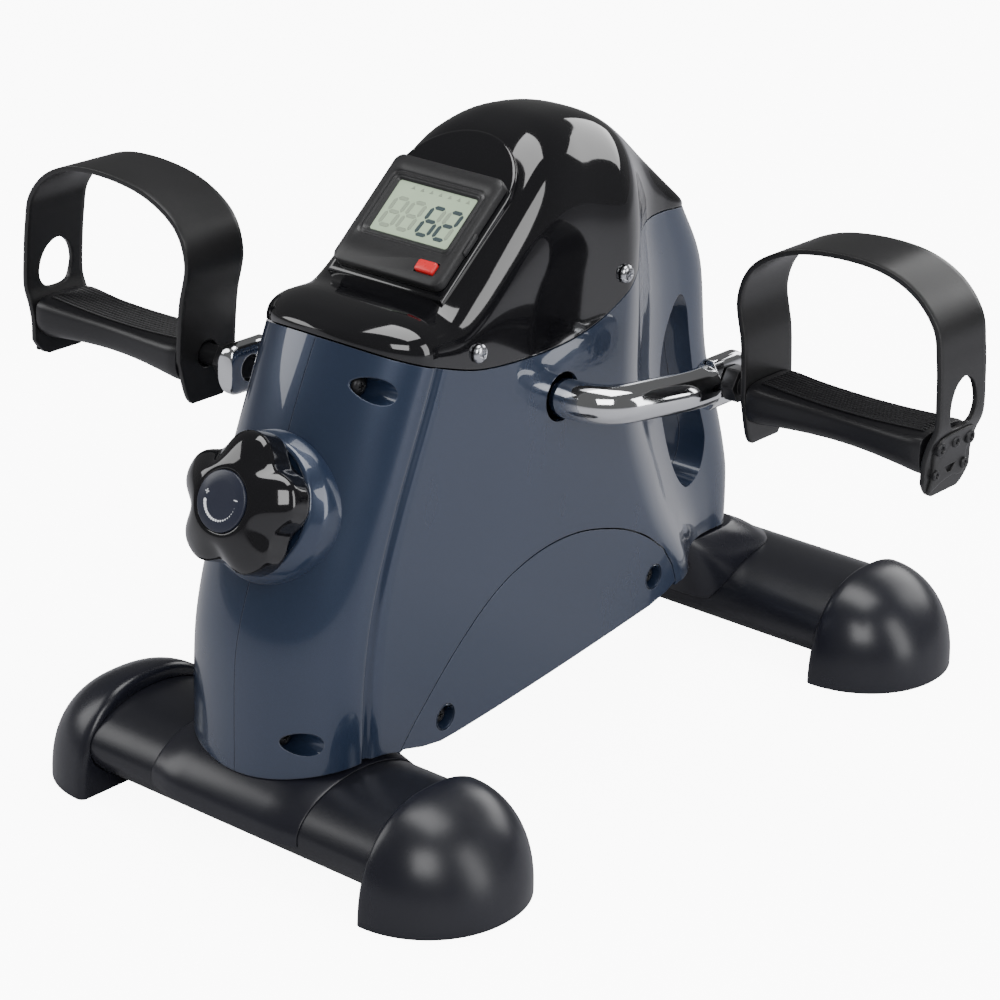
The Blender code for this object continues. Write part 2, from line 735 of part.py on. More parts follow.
# The strap's run in its own plane, as (outward, up) from the pedal's middle, from the inner foot round to the outer one.
STRAP_RUN = [
    (-47.7, -22),
    (-47.7, 0),
    (-48.3, 14),
    (-49.6, 28),
    (-53.0, 47),
    (-46.5, 63),
    (-29, 73.5),
    (-6, 77.8),
    (19, 77),
    (37, 70),
    (48.5, 57.5),
    (51.6, 43),
    (53.0, 27),
    (53.4, 13),
    (50.2, 4),
    (48.4, -4),
    (48.2, -13),
    (47.4, -21),
]


def strap(tag, side, axis, mat):
    """A flexible arch over the foot, forked round an oval hole in its outer leg."""
    run = smooth_path(STRAP_RUN, 2)
    rows = []
    for i, (out, up) in enumerate(run):
        leg = min(i, len(run) - 1 - i)
        half = STRAP_WIDTH / 2 * (0.55 + 0.45 * min(1.0, (leg + 0.4) / 2.4))
        hole = strap_hole(out, up)
        stations = [-half, -half / 2 - hole / 2, -hole, hole, half / 2 + hole / 2, half]
        if hole == 0.0:
            stations = [-half, -0.6 * half, -0.2 * half, 0.2 * half, 0.6 * half, half]
        rows.append([(side * (PEDAL_X + out), axis.y + y, axis.z + up, hole) for y in stations])
    points = [row[:3] for line in rows for row in line]
    faces = []
    for i in range(len(rows) - 1):
        open_here = rows[i][2][3] > 0 and rows[i + 1][2][3] > 0
        for k in range(5):
            if k == 2 and open_here:
                continue
            a = i * 6 + k
            faces.append((a, a + 1, a + 7, a + 6))
    made = add_mesh(f"pedal_strap_{tag}", points, faces, mat, axis + Vector((side * PEDAL_X, 0, 0)))
    thick = made.modifiers.new("Thickness", "SOLIDIFY")
    thick.thickness = STRAP_THICK * MM
    thick.offset = 0.0
    return cut(made, rod(f"strap_hole_{tag}", axis, X_AXIS * side, 6.5, PEDAL_X - 60, PEDAL_X - 40, steps=20))


def strap_hole(out, up):
    """Half the width of the hole at this place on the strap: it lies in the outer leg only."""
    if out < 0 or not 9.0 < up < 44.0:
        return 0.0
    share = (up - 24.0) / 16.0
    return max(3.0, 9.5 * math.sqrt(max(0.0, 1.0 - share**2)))


def knob(mats):
    """The brake knob with its disc and screw, the ring behind it, and the shoe that the screw moves."""
    boss = turned("knob_boss", [(33.6, -16), (33.2, 1.0), (29.8, 7.8), (28.5, 8.8)], KNOB_FOOT, KNOB_OUT,
                  mats["navy_paint"], 32)
    cut(boss, column_form("column_space"), rod("knob_boss_hole", KNOB_FOOT, KNOB_OUT, 9.0, -40, 20))
    profile = [(28.5, 9.6), (KNOB_RADIUS, 11.0), (KNOB_RADIUS, 20.0), (29.6, 23.2), (25.0, 26.6)]
    profile += [(20.0, 29.2), (17.0, 30.4), (15.6, 30.8)]
    grip = turned("tension_knob", profile, KNOB_FOOT, KNOB_OUT, mats["gloss_black"], 50, lobes=KNOB_LOBES, depth=0.18)
    cut(
        grip,
        rod("knob_disc_space", KNOB_FOOT, KNOB_OUT, 13.6, 29.9, 40),
        rod("knob_screw_space", KNOB_FOOT, KNOB_OUT, 4.3, 0, 22.3),
    )
    turned("knob_disc", [(13.3, 30.2), (13.3, 31.4), (12.7, 31.8)], KNOB_FOOT, KNOB_OUT, mats["navy_plastic"], 24)
    rod("tension_screw", KNOB_FOOT, KNOB_OUT, 4.0, -47.0, 22.0, mats["steel"], 16)
    turn = frame_of(KNOB_OUT, X_AXIS.cross(KNOB_OUT) * -1)
    carrier = block("brake_carrier", KNOB_FOOT - KNOB_OUT * 39.0, (24, 26, 12), mats["grey_plastic"], turn)
    cut(carrier, rod("carrier_hole", KNOB_FOOT, KNOB_OUT, 4.45, -49.0, -30.0))
    pad = block("brake_pad", KNOB_FOOT - KNOB_OUT * 50.2, (16, 26, 9.8), mats["felt"], turn)
    cut(
        pad,
        rod("pad_hole", KNOB_FOOT, KNOB_OUT, 4.8, -49.5, -40.0),
        rod("pad_curve", FLYWHEEL_CENTRE + KNOB_OUT * 4.0, X_AXIS, FLYWHEEL_RADIUS + 0.6, -20, 20, steps=48),
    )


def column_form(name):
    """The column's rounded front with a gap all round, as a cutter."""
    rings = []
    for z in range(100, 221, 15):
        arc = section(float(z), -GAP)[:ARC_POINTS]
        rings.append([(-x, y, z) for x, y in arc[:0:-1]] + [(x, y, z) for x, y in arc])
    return loft(name, rings, None)


def housing(mats):
    """The two side shells and their lower covers."""
    slot = smooth_loop(SLOT, 2)
    arch = cover_outline(-6.0)
    for tag, side in (("left", -1), ("right", 1)):
        shell = triangulated(side_solid(f"housing_{tag}", side, 0.0, SPLIT))
        shell.data.materials.append(mats["navy_paint"])
        cavity = triangulated(side_solid(f"cavity_{tag}", side, WALL, -6.0, 12.0, 13.0, 4))
        cut(cavity, triangulated(prism(f"slot_wall_{tag}", grown(slot, WALL), -70, 70)))
        for key, (y, z, seat) in COLUMN_SCREWS.items():
            post = rod(f"post_{key}_{tag}", (0, y, z), X_AXIS, 7.6, -60, 60, steps=18)
            cut(cavity, triangulated(post))
        cutters = [
            rod(f"knob_opening_{tag}", KNOB_FOOT, KNOB_OUT, 6.5, -20, 20, steps=20),
            cavity,
            prism(f"slot_{tag}", slot, -70, 70),
            rod(f"crank_opening_{tag}", (0, CRANK_Y, CRANK_Z), (side, 0, 0), 11.6, 30, 60, steps=32),
            prism(f"cover_opening_{tag}", arch, *sorted((side * 35, side * 60))),
        ]
        for key, (y, z, seat) in COLUMN_SCREWS.items():
            cutters.append(rod(f"pilot_{key}_{tag}", (0, y, z), X_AXIS, 2.4, -30, 30, steps=14))
            if side > 0:
                cutters.append(rod(f"well_{key}", (0, y, z), X_AXIS, 5.4, seat, 70, steps=20))
        cut(shell, *(triangulated(cutter) for cutter in cutters if cutter is not cavity), cavity)
        for key, (y, z) in HOOD_SCREWS.items():
            tab = hood_tab(f"hood_tab_{key}_{tag}", side, y, z)
            join(shell, cut(tab, rod(f"hood_pilot_{key}_{tag}", (0, y, z), X_AXIS, 2.4, -60, 60, steps=12)))
        side_cover(tag, side, mats)
    for key, (y, z, seat) in COLUMN_SCREWS.items():
        screw(f"screw_column_{key}", y, z, seat + GAP, 1, seat + 9.0, mats["dark_screw"])


def hood_tab(name, side, y, z):
    """A lug on the shell's inside that rises behind the hood's wall and takes a hood screw."""
    inner, behind_hood, in_wall = HALF_WIDTH - 9.0, HALF_WIDTH - WALL - 3.0, HALF_WIDTH - WALL + 1.0
    foot = min(smooth_value(SEAM, y + 7.0), smooth_value(SEAM, y - 7.0)) - 3.0
    outline = [(inner, foot - 10), (in_wall, foot - 10), (in_wall, foot), (behind_hood, foot)]
    outline += [(behind_hood, z + 5.0), (inner, z + 5.0)]
    rings = [[(side * x, y + along, up) for x, up in outline] for along in (-4.5, 4.5)]
    return loft(name, rings, None)


def cover_outline(lift):
    """The side cover's outline: the arch, the crease, and the lower edge raised by lift."""
    outline = smooth_path(ARCH, 2)
    outline += [(54.0, 73.0), (58.0 - 0.4 * max(lift, 0.0), 62.5 + max(lift, 0.0))]
    for k in range(8):
        y = 50.0 - (50.0 + 140.0) * k / 7
        outline.append((y, base_height(y) + lift))
    return outline


def side_cover(tag, side, mats):
    """The arched lower cover, flush in its opening, with a sunk seat for each of its screws."""
    inside = grown(cover_outline(0.4), -0.4)
    low, high = sorted((side * (HALF_WIDTH - WALL), side * HALF_WIDTH))
    cover = prism(f"side_cover_{tag}", inside, low, high, mats["navy_paint"])
    for key, (y, z) in COVER_SCREWS.items():
        place = (side * HALF_WIDTH, y, z)
        out = (side, 0, 0)
        cut(cover, rod(f"cover_well_{key}_{tag}", place, out, 6.4, -9, 9, steps=20))
        seat = [(2.4, -8.5), (8.2, -8.5), (8.2, -1.1), (5.6, -1.1), (5.6, -6.0), (2.4, -6.0)]
        join(cover, turned(f"cover_seat_{key}_{tag}", seat, place, out, None, 16, loop=True))
        screw(f"screw_cover_{key}_{tag}", y, z, HALF_WIDTH - 6.0 + GAP, side, 5.0, mats["dark_screw"])


def hood_rows(inset, segments):
    """The hood's surface, as one row of points across X at each station along Y."""
    seam = [(x, y) for x, y, z in housing_rows(0.0, 0.0, 0.0, 1)[-1]]
    stations = seam[:ARC_POINTS] + seam[ARC_POINTS + 2 :]
    middle = (seam[0][1] + seam[-1][1]) / 2
    shrink = 1.0 - inset / (seam[-1][1] - middle)
    rows = []
    for x, y in stations:
        low = smooth_value(SEAM, y) + SEAM_GAP
        high = max(smooth_value(HOOD_TOP, y) - inset, low + 0.05)
        half = max(0.0, x - inset)
        power = 2 / smooth_value(HOOD_POWER, y)
        row = []
        for k in range(segments + 1):
            angle = math.pi * k / segments
            wide = half * math.copysign(abs(math.cos(angle)) ** power, math.cos(angle))
            tall = (high - low) * math.sin(angle) ** power if 0 < k < segments else 0.0
            row.append((wide, middle + (y - middle) * shrink, low + tall))
        rows.append(row)
    return rows


def hood_solid(name, inset, drop, mat=None, segments=16):
    """The hood's form as a closed solid whose sole follows the seam, lowered by drop."""
    rows = hood_rows(inset, segments)
    for row in rows:
        for end in (0, -1):
            row[end] = (row[end][0], row[end][1], row[end][2] - drop)
    count = len(rows[0])
    points = [p for row in rows for p in row]
    faces = []
    for i in range(len(rows) - 1):
        a, b = i * count, (i + 1) * count
        for k in range(count - 1):
            faces.append((a + k, a + k + 1, b + k + 1, b + k))
        faces.append((a, b, b + count - 1, a + count - 1))
    faces.append(tuple(range(count)))
    faces.append(tuple(range(len(points) - count, len(points))))
    return add_mesh(name, points, faces, mat)


def on_console(x, up, out):
    return CONSOLE_CENTRE + Vector((x, 0, 0)) + CONSOLE_UP * up + CONSOLE_OUT * out


def console_block(name, x, up, low, high, size_x, size_up, mat=None, bevel=0.0):
    """A box square to the console's face, from low to high above that face."""
    turn = frame_of(CONSOLE_OUT, CONSOLE_UP)
    return block(name, on_console(x, up, (low + high) / 2), (size_x, size_up, high - low), mat, turn, bevel)


def hood(mats):
    """The dome, the raised bezel on its sloping face, and the four screws that hold it."""
    dome = hood_solid("hood", 0.0, 0.0, mats["gloss_black"])
    cut(dome, hood_solid("hood_cavity", WALL, 9.0, segments=10))
    seat = console_block("console_seat", 0, 0, 0.0, 30.0, 2 * CONSOLE_HALF_X + 0.8, 2 * CONSOLE_HALF_UP + 0.8)
    cut(dome, seat, console_block("console_opening", 0, 0, -40, 20, 57.0, 53.0))
    for key, (y, z) in HOOD_SCREWS.items():
        cut(dome, rod(f"hood_screw_hole_{key}", (0, y, z), X_AXIS, 2.4, -70, 70, steps=12))
    bezel = bezel_plate(mats["gloss_black"])
    cut(bezel, hood_solid("hood_space", -GAP, 0.0), console_block("bezel_opening", 0, 0, -40, 20, 57.0, 53.0))


def bezel_plate(mat):
    """A raised plate with a round top, which follows the console's slope."""
    outline = [(-33.0, -33.0), (33.0, -33.0), (33.0, 22.0)]
    outline += [(33.0 * math.cos(a), 22.0 + 31.0 * math.sin(a)) for a in (math.pi * k / 16 for k in range(1, 16))]
    outline.append((-33.0, 22.0))
    rings = []
    for out, shrink in ((-24.0, 0.0), (-1.2, 0.0), (0.0, 1.2)):
        ring = grown(outline, -shrink) if shrink else outline
        rings.append([on_console(x, up, out) for x, up in ring])
    return loft("console_bezel", rings, mat, CONSOLE_CENTRE)


def console(mats):
    """The display module: its case, display, circuit board and button."""
    case = console_block("console_case", 0, 0, GAP, 5.0, 2 * CONSOLE_HALF_X, 2 * CONSOLE_HALF_UP,
                         mats["black_plastic"], bevel=1.2)
    join(case, console_block("console_tub", 0, 0, -11.0, 2.5, 55.0, 51.0))
    cut(
        case,
        console_block("console_hollow", 0, 0, -20.0, 0.8, 51.0, 47.0),
        console_block("display_opening", 0, 3.7, -6.0, 2.6, 42.0, 25.0),
        console_block("display_window", 0, 3.7, 2.2, 9.0, 46.0, 29.0),
        console_block("button_opening", BUTTON_X, BUTTON_UP, -4.0, 9.0, 11.2, 6.4),
    )
    console_block("display", 0, 3.7, 2.5, 3.9, 45.4, 28.4, mats["display"])
    console_block("circuit_board", 0, 0, -8.6, -7.0, 50.0, 46.0, mats["board_green"])
    console_block("button", BUTTON_X, BUTTON_UP, -1.6, 6.6, 10.4, 5.6, mats["red_plastic"], bevel=0.6)


def hood_screws(mats):
    for tag, side in (("left", -1), ("right", 1)):
        for key, (y, z) in HOOD_SCREWS.items():
            seat = hood_face_x(y, z) + GAP
            screw(f"screw_hood_{key}_{tag}", y, z, seat, side, 9.0, mats["steel"])


def hood_face_x(y, z):
    """Where the hood's side lies at this place: its half width there."""
    low = smooth_value(SEAM, y) + SEAM_GAP
    high = smooth_value(HOOD_TOP, y)
    power = smooth_value(HOOD_POWER, y)
    return HALF_WIDTH * (1.0 - ((z - low) / (high - low)) ** power) ** (1 / power)


def build():
    clear_scene()
    mats = {
        "navy_paint": material("navy_paint", (0.030, 0.052, 0.095), 0.22, 0.35),
        "navy_plastic": material("navy_plastic", (0.035, 0.045, 0.075), 0.4),
        "gloss_black": material("gloss_black", (0.012, 0.012, 0.013), 0.12),
        "black_plastic": material("black_plastic", (0.020, 0.020, 0.022), 0.45),
        "strap_plastic": material("strap_plastic", (0.018, 0.018, 0.019), 0.5),
        "black_paint": material("black_paint", (0.018, 0.018, 0.020), 0.32),
        "chrome": material("chrome", (0.85, 0.86, 0.88), 0.08, 1.0),
        "steel": material("steel", (0.62, 0.63, 0.65), 0.28, 1.0),
        "frame_steel": material("frame_steel", (0.10, 0.10, 0.11), 0.45, 0.6),
        "dark_screw": material("dark_screw", (0.03, 0.03, 0.032), 0.35, 0.7),
        "cast_iron": material("cast_iron", (0.20, 0.20, 0.21), 0.5, 0.9),
        "grey_plastic": material("grey_plastic", (0.25, 0.26, 0.27), 0.5),
        "rubber": material("rubber", (0.02, 0.02, 0.02), 0.8),
        "felt": material("felt", (0.32, 0.27, 0.20), 0.95),
        "display": material("display", (0.42, 0.47, 0.40), 0.2),
        "board_green": material("board_green", (0.03, 0.16, 0.08), 0.5),
        "red_plastic": material("red_plastic", (0.60, 0.02, 0.02), 0.3),
    }
    base(mats)
    inner_frame(mats)
    drive(mats)
    housing(mats)
    hood(mats)
    hood_screws(mats)
    console(mats)
    knob(mats)
    for tag, side in (("left", -1), ("right", 1)):
        pedal(tag, side, mats)


build()
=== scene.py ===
"""Looks of a floor-standing pedal exerciser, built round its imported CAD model.

Lengths in the classes are millimetres in the row frame: +X is the right pedal's side, -Y faces the user,
+Z is up, and the floor is z = 0. MeshKit turns them into metres.
"""

import logging
import math
from dataclasses import dataclass, field
from enum import Enum
from typing import Callable, ClassVar, Iterable, Sequence

import bmesh
import bpy
from mathutils import Matrix, Vector


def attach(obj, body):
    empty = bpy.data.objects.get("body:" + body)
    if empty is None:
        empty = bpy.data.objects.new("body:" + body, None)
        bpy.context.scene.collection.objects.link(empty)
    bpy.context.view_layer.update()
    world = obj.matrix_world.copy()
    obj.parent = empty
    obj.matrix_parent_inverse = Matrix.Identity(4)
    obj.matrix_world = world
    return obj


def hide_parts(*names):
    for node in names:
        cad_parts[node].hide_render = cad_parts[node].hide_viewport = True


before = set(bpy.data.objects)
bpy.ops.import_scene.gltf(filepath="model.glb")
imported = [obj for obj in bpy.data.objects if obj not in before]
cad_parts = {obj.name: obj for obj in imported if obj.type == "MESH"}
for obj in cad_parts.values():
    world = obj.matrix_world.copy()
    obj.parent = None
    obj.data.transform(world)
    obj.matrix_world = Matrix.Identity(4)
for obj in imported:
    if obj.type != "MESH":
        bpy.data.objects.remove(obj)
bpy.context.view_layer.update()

COAT_ROUGHNESS = 0.03
EDGE_RADIUS = 0.7
EDGE_SAMPLES = 6
EDGE_ONSET, EDGE_FULL = 0.999, 0.93
MOTTLE_LOW, MOTTLE_HIGH = 0.3, 0.7
MOTTLE_SPREAD, FLAKE_SPREAD = 0.10, 0.18
SMEAR_STRETCH = (1.0, 1.6, 0.6)
SMEAR_LOW, SMEAR_HIGH = 0.38, 0.72
LOG = logging.getLogger("pedal_exerciser")
MM = 0.001
Point = Sequence[float]
Knots = Sequence[tuple[float, float]]
Ring = list[Point]
Pairs = list[tuple[float, float]]
Faces = list[tuple[int, ...]]
Node = bpy.types.Node
Socket = bpy.types.NodeSocket
Tree = bpy.types.NodeTree
Object = bpy.types.Object
Material = bpy.types.Material


def join(tree: Tree, source: Node, output: str, sink: Node, given: str | int) -> None:
    """Wires a node's output to another node's input."""
    tree.links.new(source.outputs[output], sink.inputs[given])


def preset(node: Node, values: dict[str, object]) -> None:
    """Sets a node's unwired inputs by name."""
    for name, value in values.items():
        node.inputs[name].default_value = value


class Side(Enum):
    """The two sides of the exerciser, as the sign of X."""

    LEFT = -1
    RIGHT = 1

    @property
    def tag(self) -> str:
        """The word that node names end in."""
        return self.name.lower()


# ---------------------------------------- curves


class Curves:
    """Smooth curves through a few knots."""

    @staticmethod
    def value(knots: Knots, at: float) -> float:
        """Reads a value off a smooth curve.

        Args:
            knots: (place, value) pairs in rising order.
            at: the place to read.

        Returns:
            The value there, held level beyond both ends.
        """
        if at <= knots[0][0]:
            return knots[0][1]
        if at >= knots[-1][0]:
            return knots[-1][1]
        i = max(k for k in range(len(knots) - 1) if knots[k][0] <= at)
        (x0, y0), (x1, y1) = knots[i], knots[i + 1]

        def slope(k: int) -> float:
            """The curve's slope at knot k."""
            low, high = max(k - 1, 0), min(k + 1, len(knots) - 1)
            return (knots[high][1] - knots[low][1]) / (knots[high][0] - knots[low][0])

        step = x1 - x0
        t = (at - x0) / step
        start = (2 * t**3 - 3 * t**2 + 1) * y0 + (t**3 - 2 * t**2 + t) * step * slope(i)
        return start + (-2 * t**3 + 3 * t**2) * y1 + (t**3 - t**2) * step * slope(i + 1)

    @staticmethod
    def loop(knots: Sequence[Point], steps: int) -> Pairs:
        """A closed smooth outline.

        Args:
            knots: 2-D points in order.
            steps: points made between two knots.

        Returns:
            The outline's points.
        """
        count = len(knots)
        made = []
        for i in range(count):
            p0, p1, p2, p3 = (Vector(knots[(i + k) % count][:2]) for k in (-1, 0, 1, 2))
            for s in range(steps):
                t = s / steps
                a = 2 * p1 + (p2 - p0) * t
                b = (2 * p0 - 5 * p1 + 4 * p2 - p3) * t**2
                c = (3 * p1 - p0 - 3 * p2 + p3) * t**3
                made.append(tuple((a + b + c) / 2))
        return made

    @staticmethod
    def path(knots: Sequence[Point], steps: int) -> Pairs:
        """An open smooth path.

        Args:
            knots: 2-D points in order.
            steps: points made between two knots.

        Returns:
            The path's points, from the first knot to the last.
        """
        first = tuple(2 * Vector(knots[0]) - Vector(knots[1]))
        last = tuple(2 * Vector(knots[-1]) - Vector(knots[-2]))
        whole = Curves.loop([first, *knots, last], steps)
        return whole[steps : steps * len(knots) + 1]

    @staticmethod
    def grown(outline: Sequence[Point], by: float) -> Pairs:
        """Pushes a closed outline out.

        Args:
            outline: its points.
            by: the distance outwards, or a negative one inwards.

        Returns:
            The new outline.
        """
        count = len(outline)
        pairs = [(outline[i], outline[(i + 1) % count]) for i in range(count)]
        side = 1.0 if sum(a[0] * b[1] - b[0] * a[1] for a, b in pairs) > 0 else -1.0
        made = []
        for i in range(count):
            before, here, after = (Vector(outline[(i + k) % count]) for k in (-1, 0, 1))
            first = (here - before).normalized()
            second = (after - here).normalized()
            normal = Vector((first.y + second.y, -first.x - second.x)).normalized() * side
            lean = max(0.5, abs(Vector((first.y, -first.x)).dot(normal)))
            made.append(tuple(here + normal * by / lean))
        return made

    @staticmethod
    def rounded_box(
        half_x: float, half_y: float, radius: float, corner: int = 8
    ) -> Pairs:
        """A rectangle with round corners, centred on the origin.

        Args:
            half_x: half its width.
            half_y: half its height.
            radius: its corners' radius.
            corner: steps round each corner.

        Returns:
            The outline, anticlockwise.
        """
        made = []
        for turn, (sx, sy) in enumerate(((1, 1), (-1, 1), (-1, -1), (1, -1))):
            for k in range(corner + 1):
                angle = math.pi / 2 * (turn + k / corner)
                x = sx * (half_x - radius) + radius * math.cos(angle)
                made.append((x, sy * (half_y - radius) + radius * math.sin(angle)))
        return made


# ---------------------------------------- meshes


class MeshKit:
    """Makes meshes in millimetres and turns them into finished pieces at the origin."""

    SHARP = math.radians(32.0)

    @staticmethod
    def mesh(name: str, points: Iterable[Point], faces: Sequence[Sequence[int]]) -> Object:
        """Makes an object with outward faces and no doubled points.

        Args:
            name: the object's name.
            points: its points in millimetres.
            faces: its faces, as point numbers.

        Returns:
            The object.
        """
        data = bpy.data.meshes.new(name)
        data.from_pydata([Vector(p) * MM for p in points], [], faces)
        body = bmesh.new()
        body.from_mesh(data)
        bmesh.ops.remove_doubles(body, verts=body.verts, dist=0.002 * MM)
        bmesh.ops.recalc_face_normals(body, faces=body.faces)
        closed = all(len(edge.link_faces) == 2 for edge in body.edges)
        if closed and body.calc_volume(signed=True) < 0:
            bmesh.ops.reverse_faces(body, faces=body.faces)
        body.to_mesh(data)
        body.free()
        obj = bpy.data.objects.new(name, data)
        bpy.context.scene.collection.objects.link(obj)
        return obj

    @staticmethod
    def loft(name: str, rings: Sequence[Ring], loop: bool = False) -> Object:
        """Skins rings of equally many points.

        Args:
            name: the object's name.
            rings: closed rings in order.
            loop: joins the last ring to the first in place of capping both.

        Returns:
            The object.
        """
        count = len(rings[0])
        points = [p for ring in rings for p in ring]
        faces: Faces = []
        for row in range(len(rings) if loop else len(rings) - 1):
            here, there = row * count, (row + 1) % len(rings) * count
            for i in range(count):
                j = (i + 1) % count
                faces.append((here + i, here + j, there + j, there + i))
        if not loop:
            faces.append(tuple(range(count)))
            faces.append(tuple(range(len(points) - count, len(points))))
        return MeshKit.mesh(name, points, faces)

    @staticmethod
    def turned(
        name: str,
        profile: Sequence[tuple[float, float]],
        centre: Vector,
        axis: Vector,
        steps: int = 64,
        loop: bool = False,
        radius_at: Callable[[float, float, float], float] | None = None,
    ) -> Object:
        """Turns a profile round an axis.

        Args:
            name: the object's name.
            profile: (radius, distance along the axis) pairs.
            centre: a point on the axis.
            axis: the axis.
            steps: points round each ring.
            loop: closes the profile on itself, which leaves a bore.
            radius_at: reshapes a ring, from its radius, place and angle to a radius.

        Returns:
            The object.
        """
        axis = axis.normalized()
        first = Vector((1, 0, 0)) if abs(axis.x) < 0.9 else Vector((0, 1, 0))
        second = axis.cross(first).normalized()
        rings = []
        for radius, along in profile:
            ring = []
            for k in range(steps):
                angle = 2 * math.pi * k / steps
                reach = radius_at(radius, along, angle) if radius_at else radius
                way = first * math.cos(angle) + second * math.sin(angle)
                ring.append(centre + axis * along + way * reach)
            rings.append(ring)
        return MeshKit.loft(name, rings, loop)

    @staticmethod
    def rod(centre: Vector, axis: Vector, radius: float, low: float, high: float, steps: int = 48) -> Object:
        """A plain cylinder for cutting.

        Args:
            centre: a point on its axis.
            axis: its axis.
            radius: its radius.
            low: where it starts along the axis.
            high: where it ends.
            steps: points round it.

        Returns:
            The object.
        """
        return MeshKit.turned("cutter", [(radius, low), (radius, high)], centre, axis, steps)

    @staticmethod
    def prism(name: str, outline: Sequence[Point], low: float, high: float) -> Object:
        """A plate across X.

        Args:
            name: the object's name.
            outline: (y, z) points.
            low: its lower x.
            high: its upper x.

        Returns:
            The object.
        """
        return MeshKit.loft(name, [[(x, p[0], p[1]) for p in outline] for x in (low, high)])

    @staticmethod
    def triangles(obj: Object) -> Object:
        """Splits an object's faces into triangles, which cuts on curved walls need.

        Args:
            obj: the object.

        Returns:
            The object.
        """
        body = bmesh.new()
        body.from_mesh(obj.data)
        bmesh.ops.triangulate(body, faces=body.faces)
        body.to_mesh(obj.data)
        body.free()
        return obj

    @staticmethod
    def combine(target: Object, others: Iterable[Object], operation: str = "DIFFERENCE") -> None:
        """Cuts or joins other solids, applies the result and removes them.

        Args:
            target: the solid that changes.
            others: the solids that cut it or join it.
            operation: DIFFERENCE or UNION.
        """
        others = list(others)
        for other in others:
            modifier = target.modifiers.new("Shape", "BOOLEAN")
            modifier.operation = operation
            modifier.object = other
            modifier.solver = "EXACT"
        MeshKit.apply(target)
        for other in others:
            bpy.data.objects.remove(other, do_unlink=True)

    @staticmethod
    def apply(obj: Object) -> None:
        """Turns an object's modifiers into its mesh.

        Args:
            obj: the object.
        """
        bpy.context.view_layer.update()
        graph = bpy.context.evaluated_depsgraph_get()
        made = bpy.data.meshes.new_from_object(obj.evaluated_get(graph))
        obj.modifiers.clear()
        obj.data = made

    @staticmethod
    def bevelled(obj: Object, width: float, segments: int = 2, angle: float = 35.0) -> Object:
        """Rounds an object's sharp edges.

        Args:
            obj: the object.
            width: the bevel's width in millimetres.
            segments: steps across it.
            angle: edges sharper than this, in degrees, are rounded.

        Returns:
            The object.
        """
        modifier = obj.modifiers.new("Edges", "BEVEL")
        modifier.width = width * MM
        modifier.segments = segments
        modifier.limit_method = "ANGLE"
        modifier.angle_limit = math.radians(angle)
        MeshKit.apply(obj)
        return obj

    @staticmethod
    def merged(name: str, parts: Sequence[Object]) -> Object:
        """Gathers several objects' meshes into one object and removes them.

        Args:
            name: the new object's name.
            parts: the objects.

        Returns:
            The new object.
        """
        body = bmesh.new()
        for part in parts:
            part.data.transform(part.matrix_world)
            body.from_mesh(part.data)
        data = bpy.data.meshes.new(name)
        body.to_mesh(data)
        body.free()
        for part in parts:
            bpy.data.objects.remove(part, do_unlink=True)
        obj = bpy.data.objects.new(name, data)
        bpy.context.scene.collection.objects.link(obj)
        return obj

    @staticmethod
    def finish(
        obj: Object,
        body: str,
        material: Material,
        replaces: Sequence[str] = (),
        slot: str | None = None,
        sharp: float = SHARP,
    ) -> Object:
        """Dresses a piece, shades it smooth and puts it on its body.

        Args:
            obj: the piece.
            body: the CAD body that it rides on.
            material: its finish.
            replaces: the CAD nodes that it stands for.
            slot: a material slot's name; not used.
            sharp: edges sharper than this angle stay sharp.

        Returns:
            The piece.
        """
        obj.data.materials.clear()
        obj.data.materials.append(material)
        for face in obj.data.polygons:
            face.material_index = 0
        obj.data.shade_smooth()
        obj.data.set_sharp_from_angle(angle=sharp)
        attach(obj, body)
        if replaces:
            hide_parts(*replaces)
        LOG.info("%s rides on %s, %d faces", obj.name, body, len(obj.data.polygons))
        return obj


# ---------------------------------------- geometry nodes


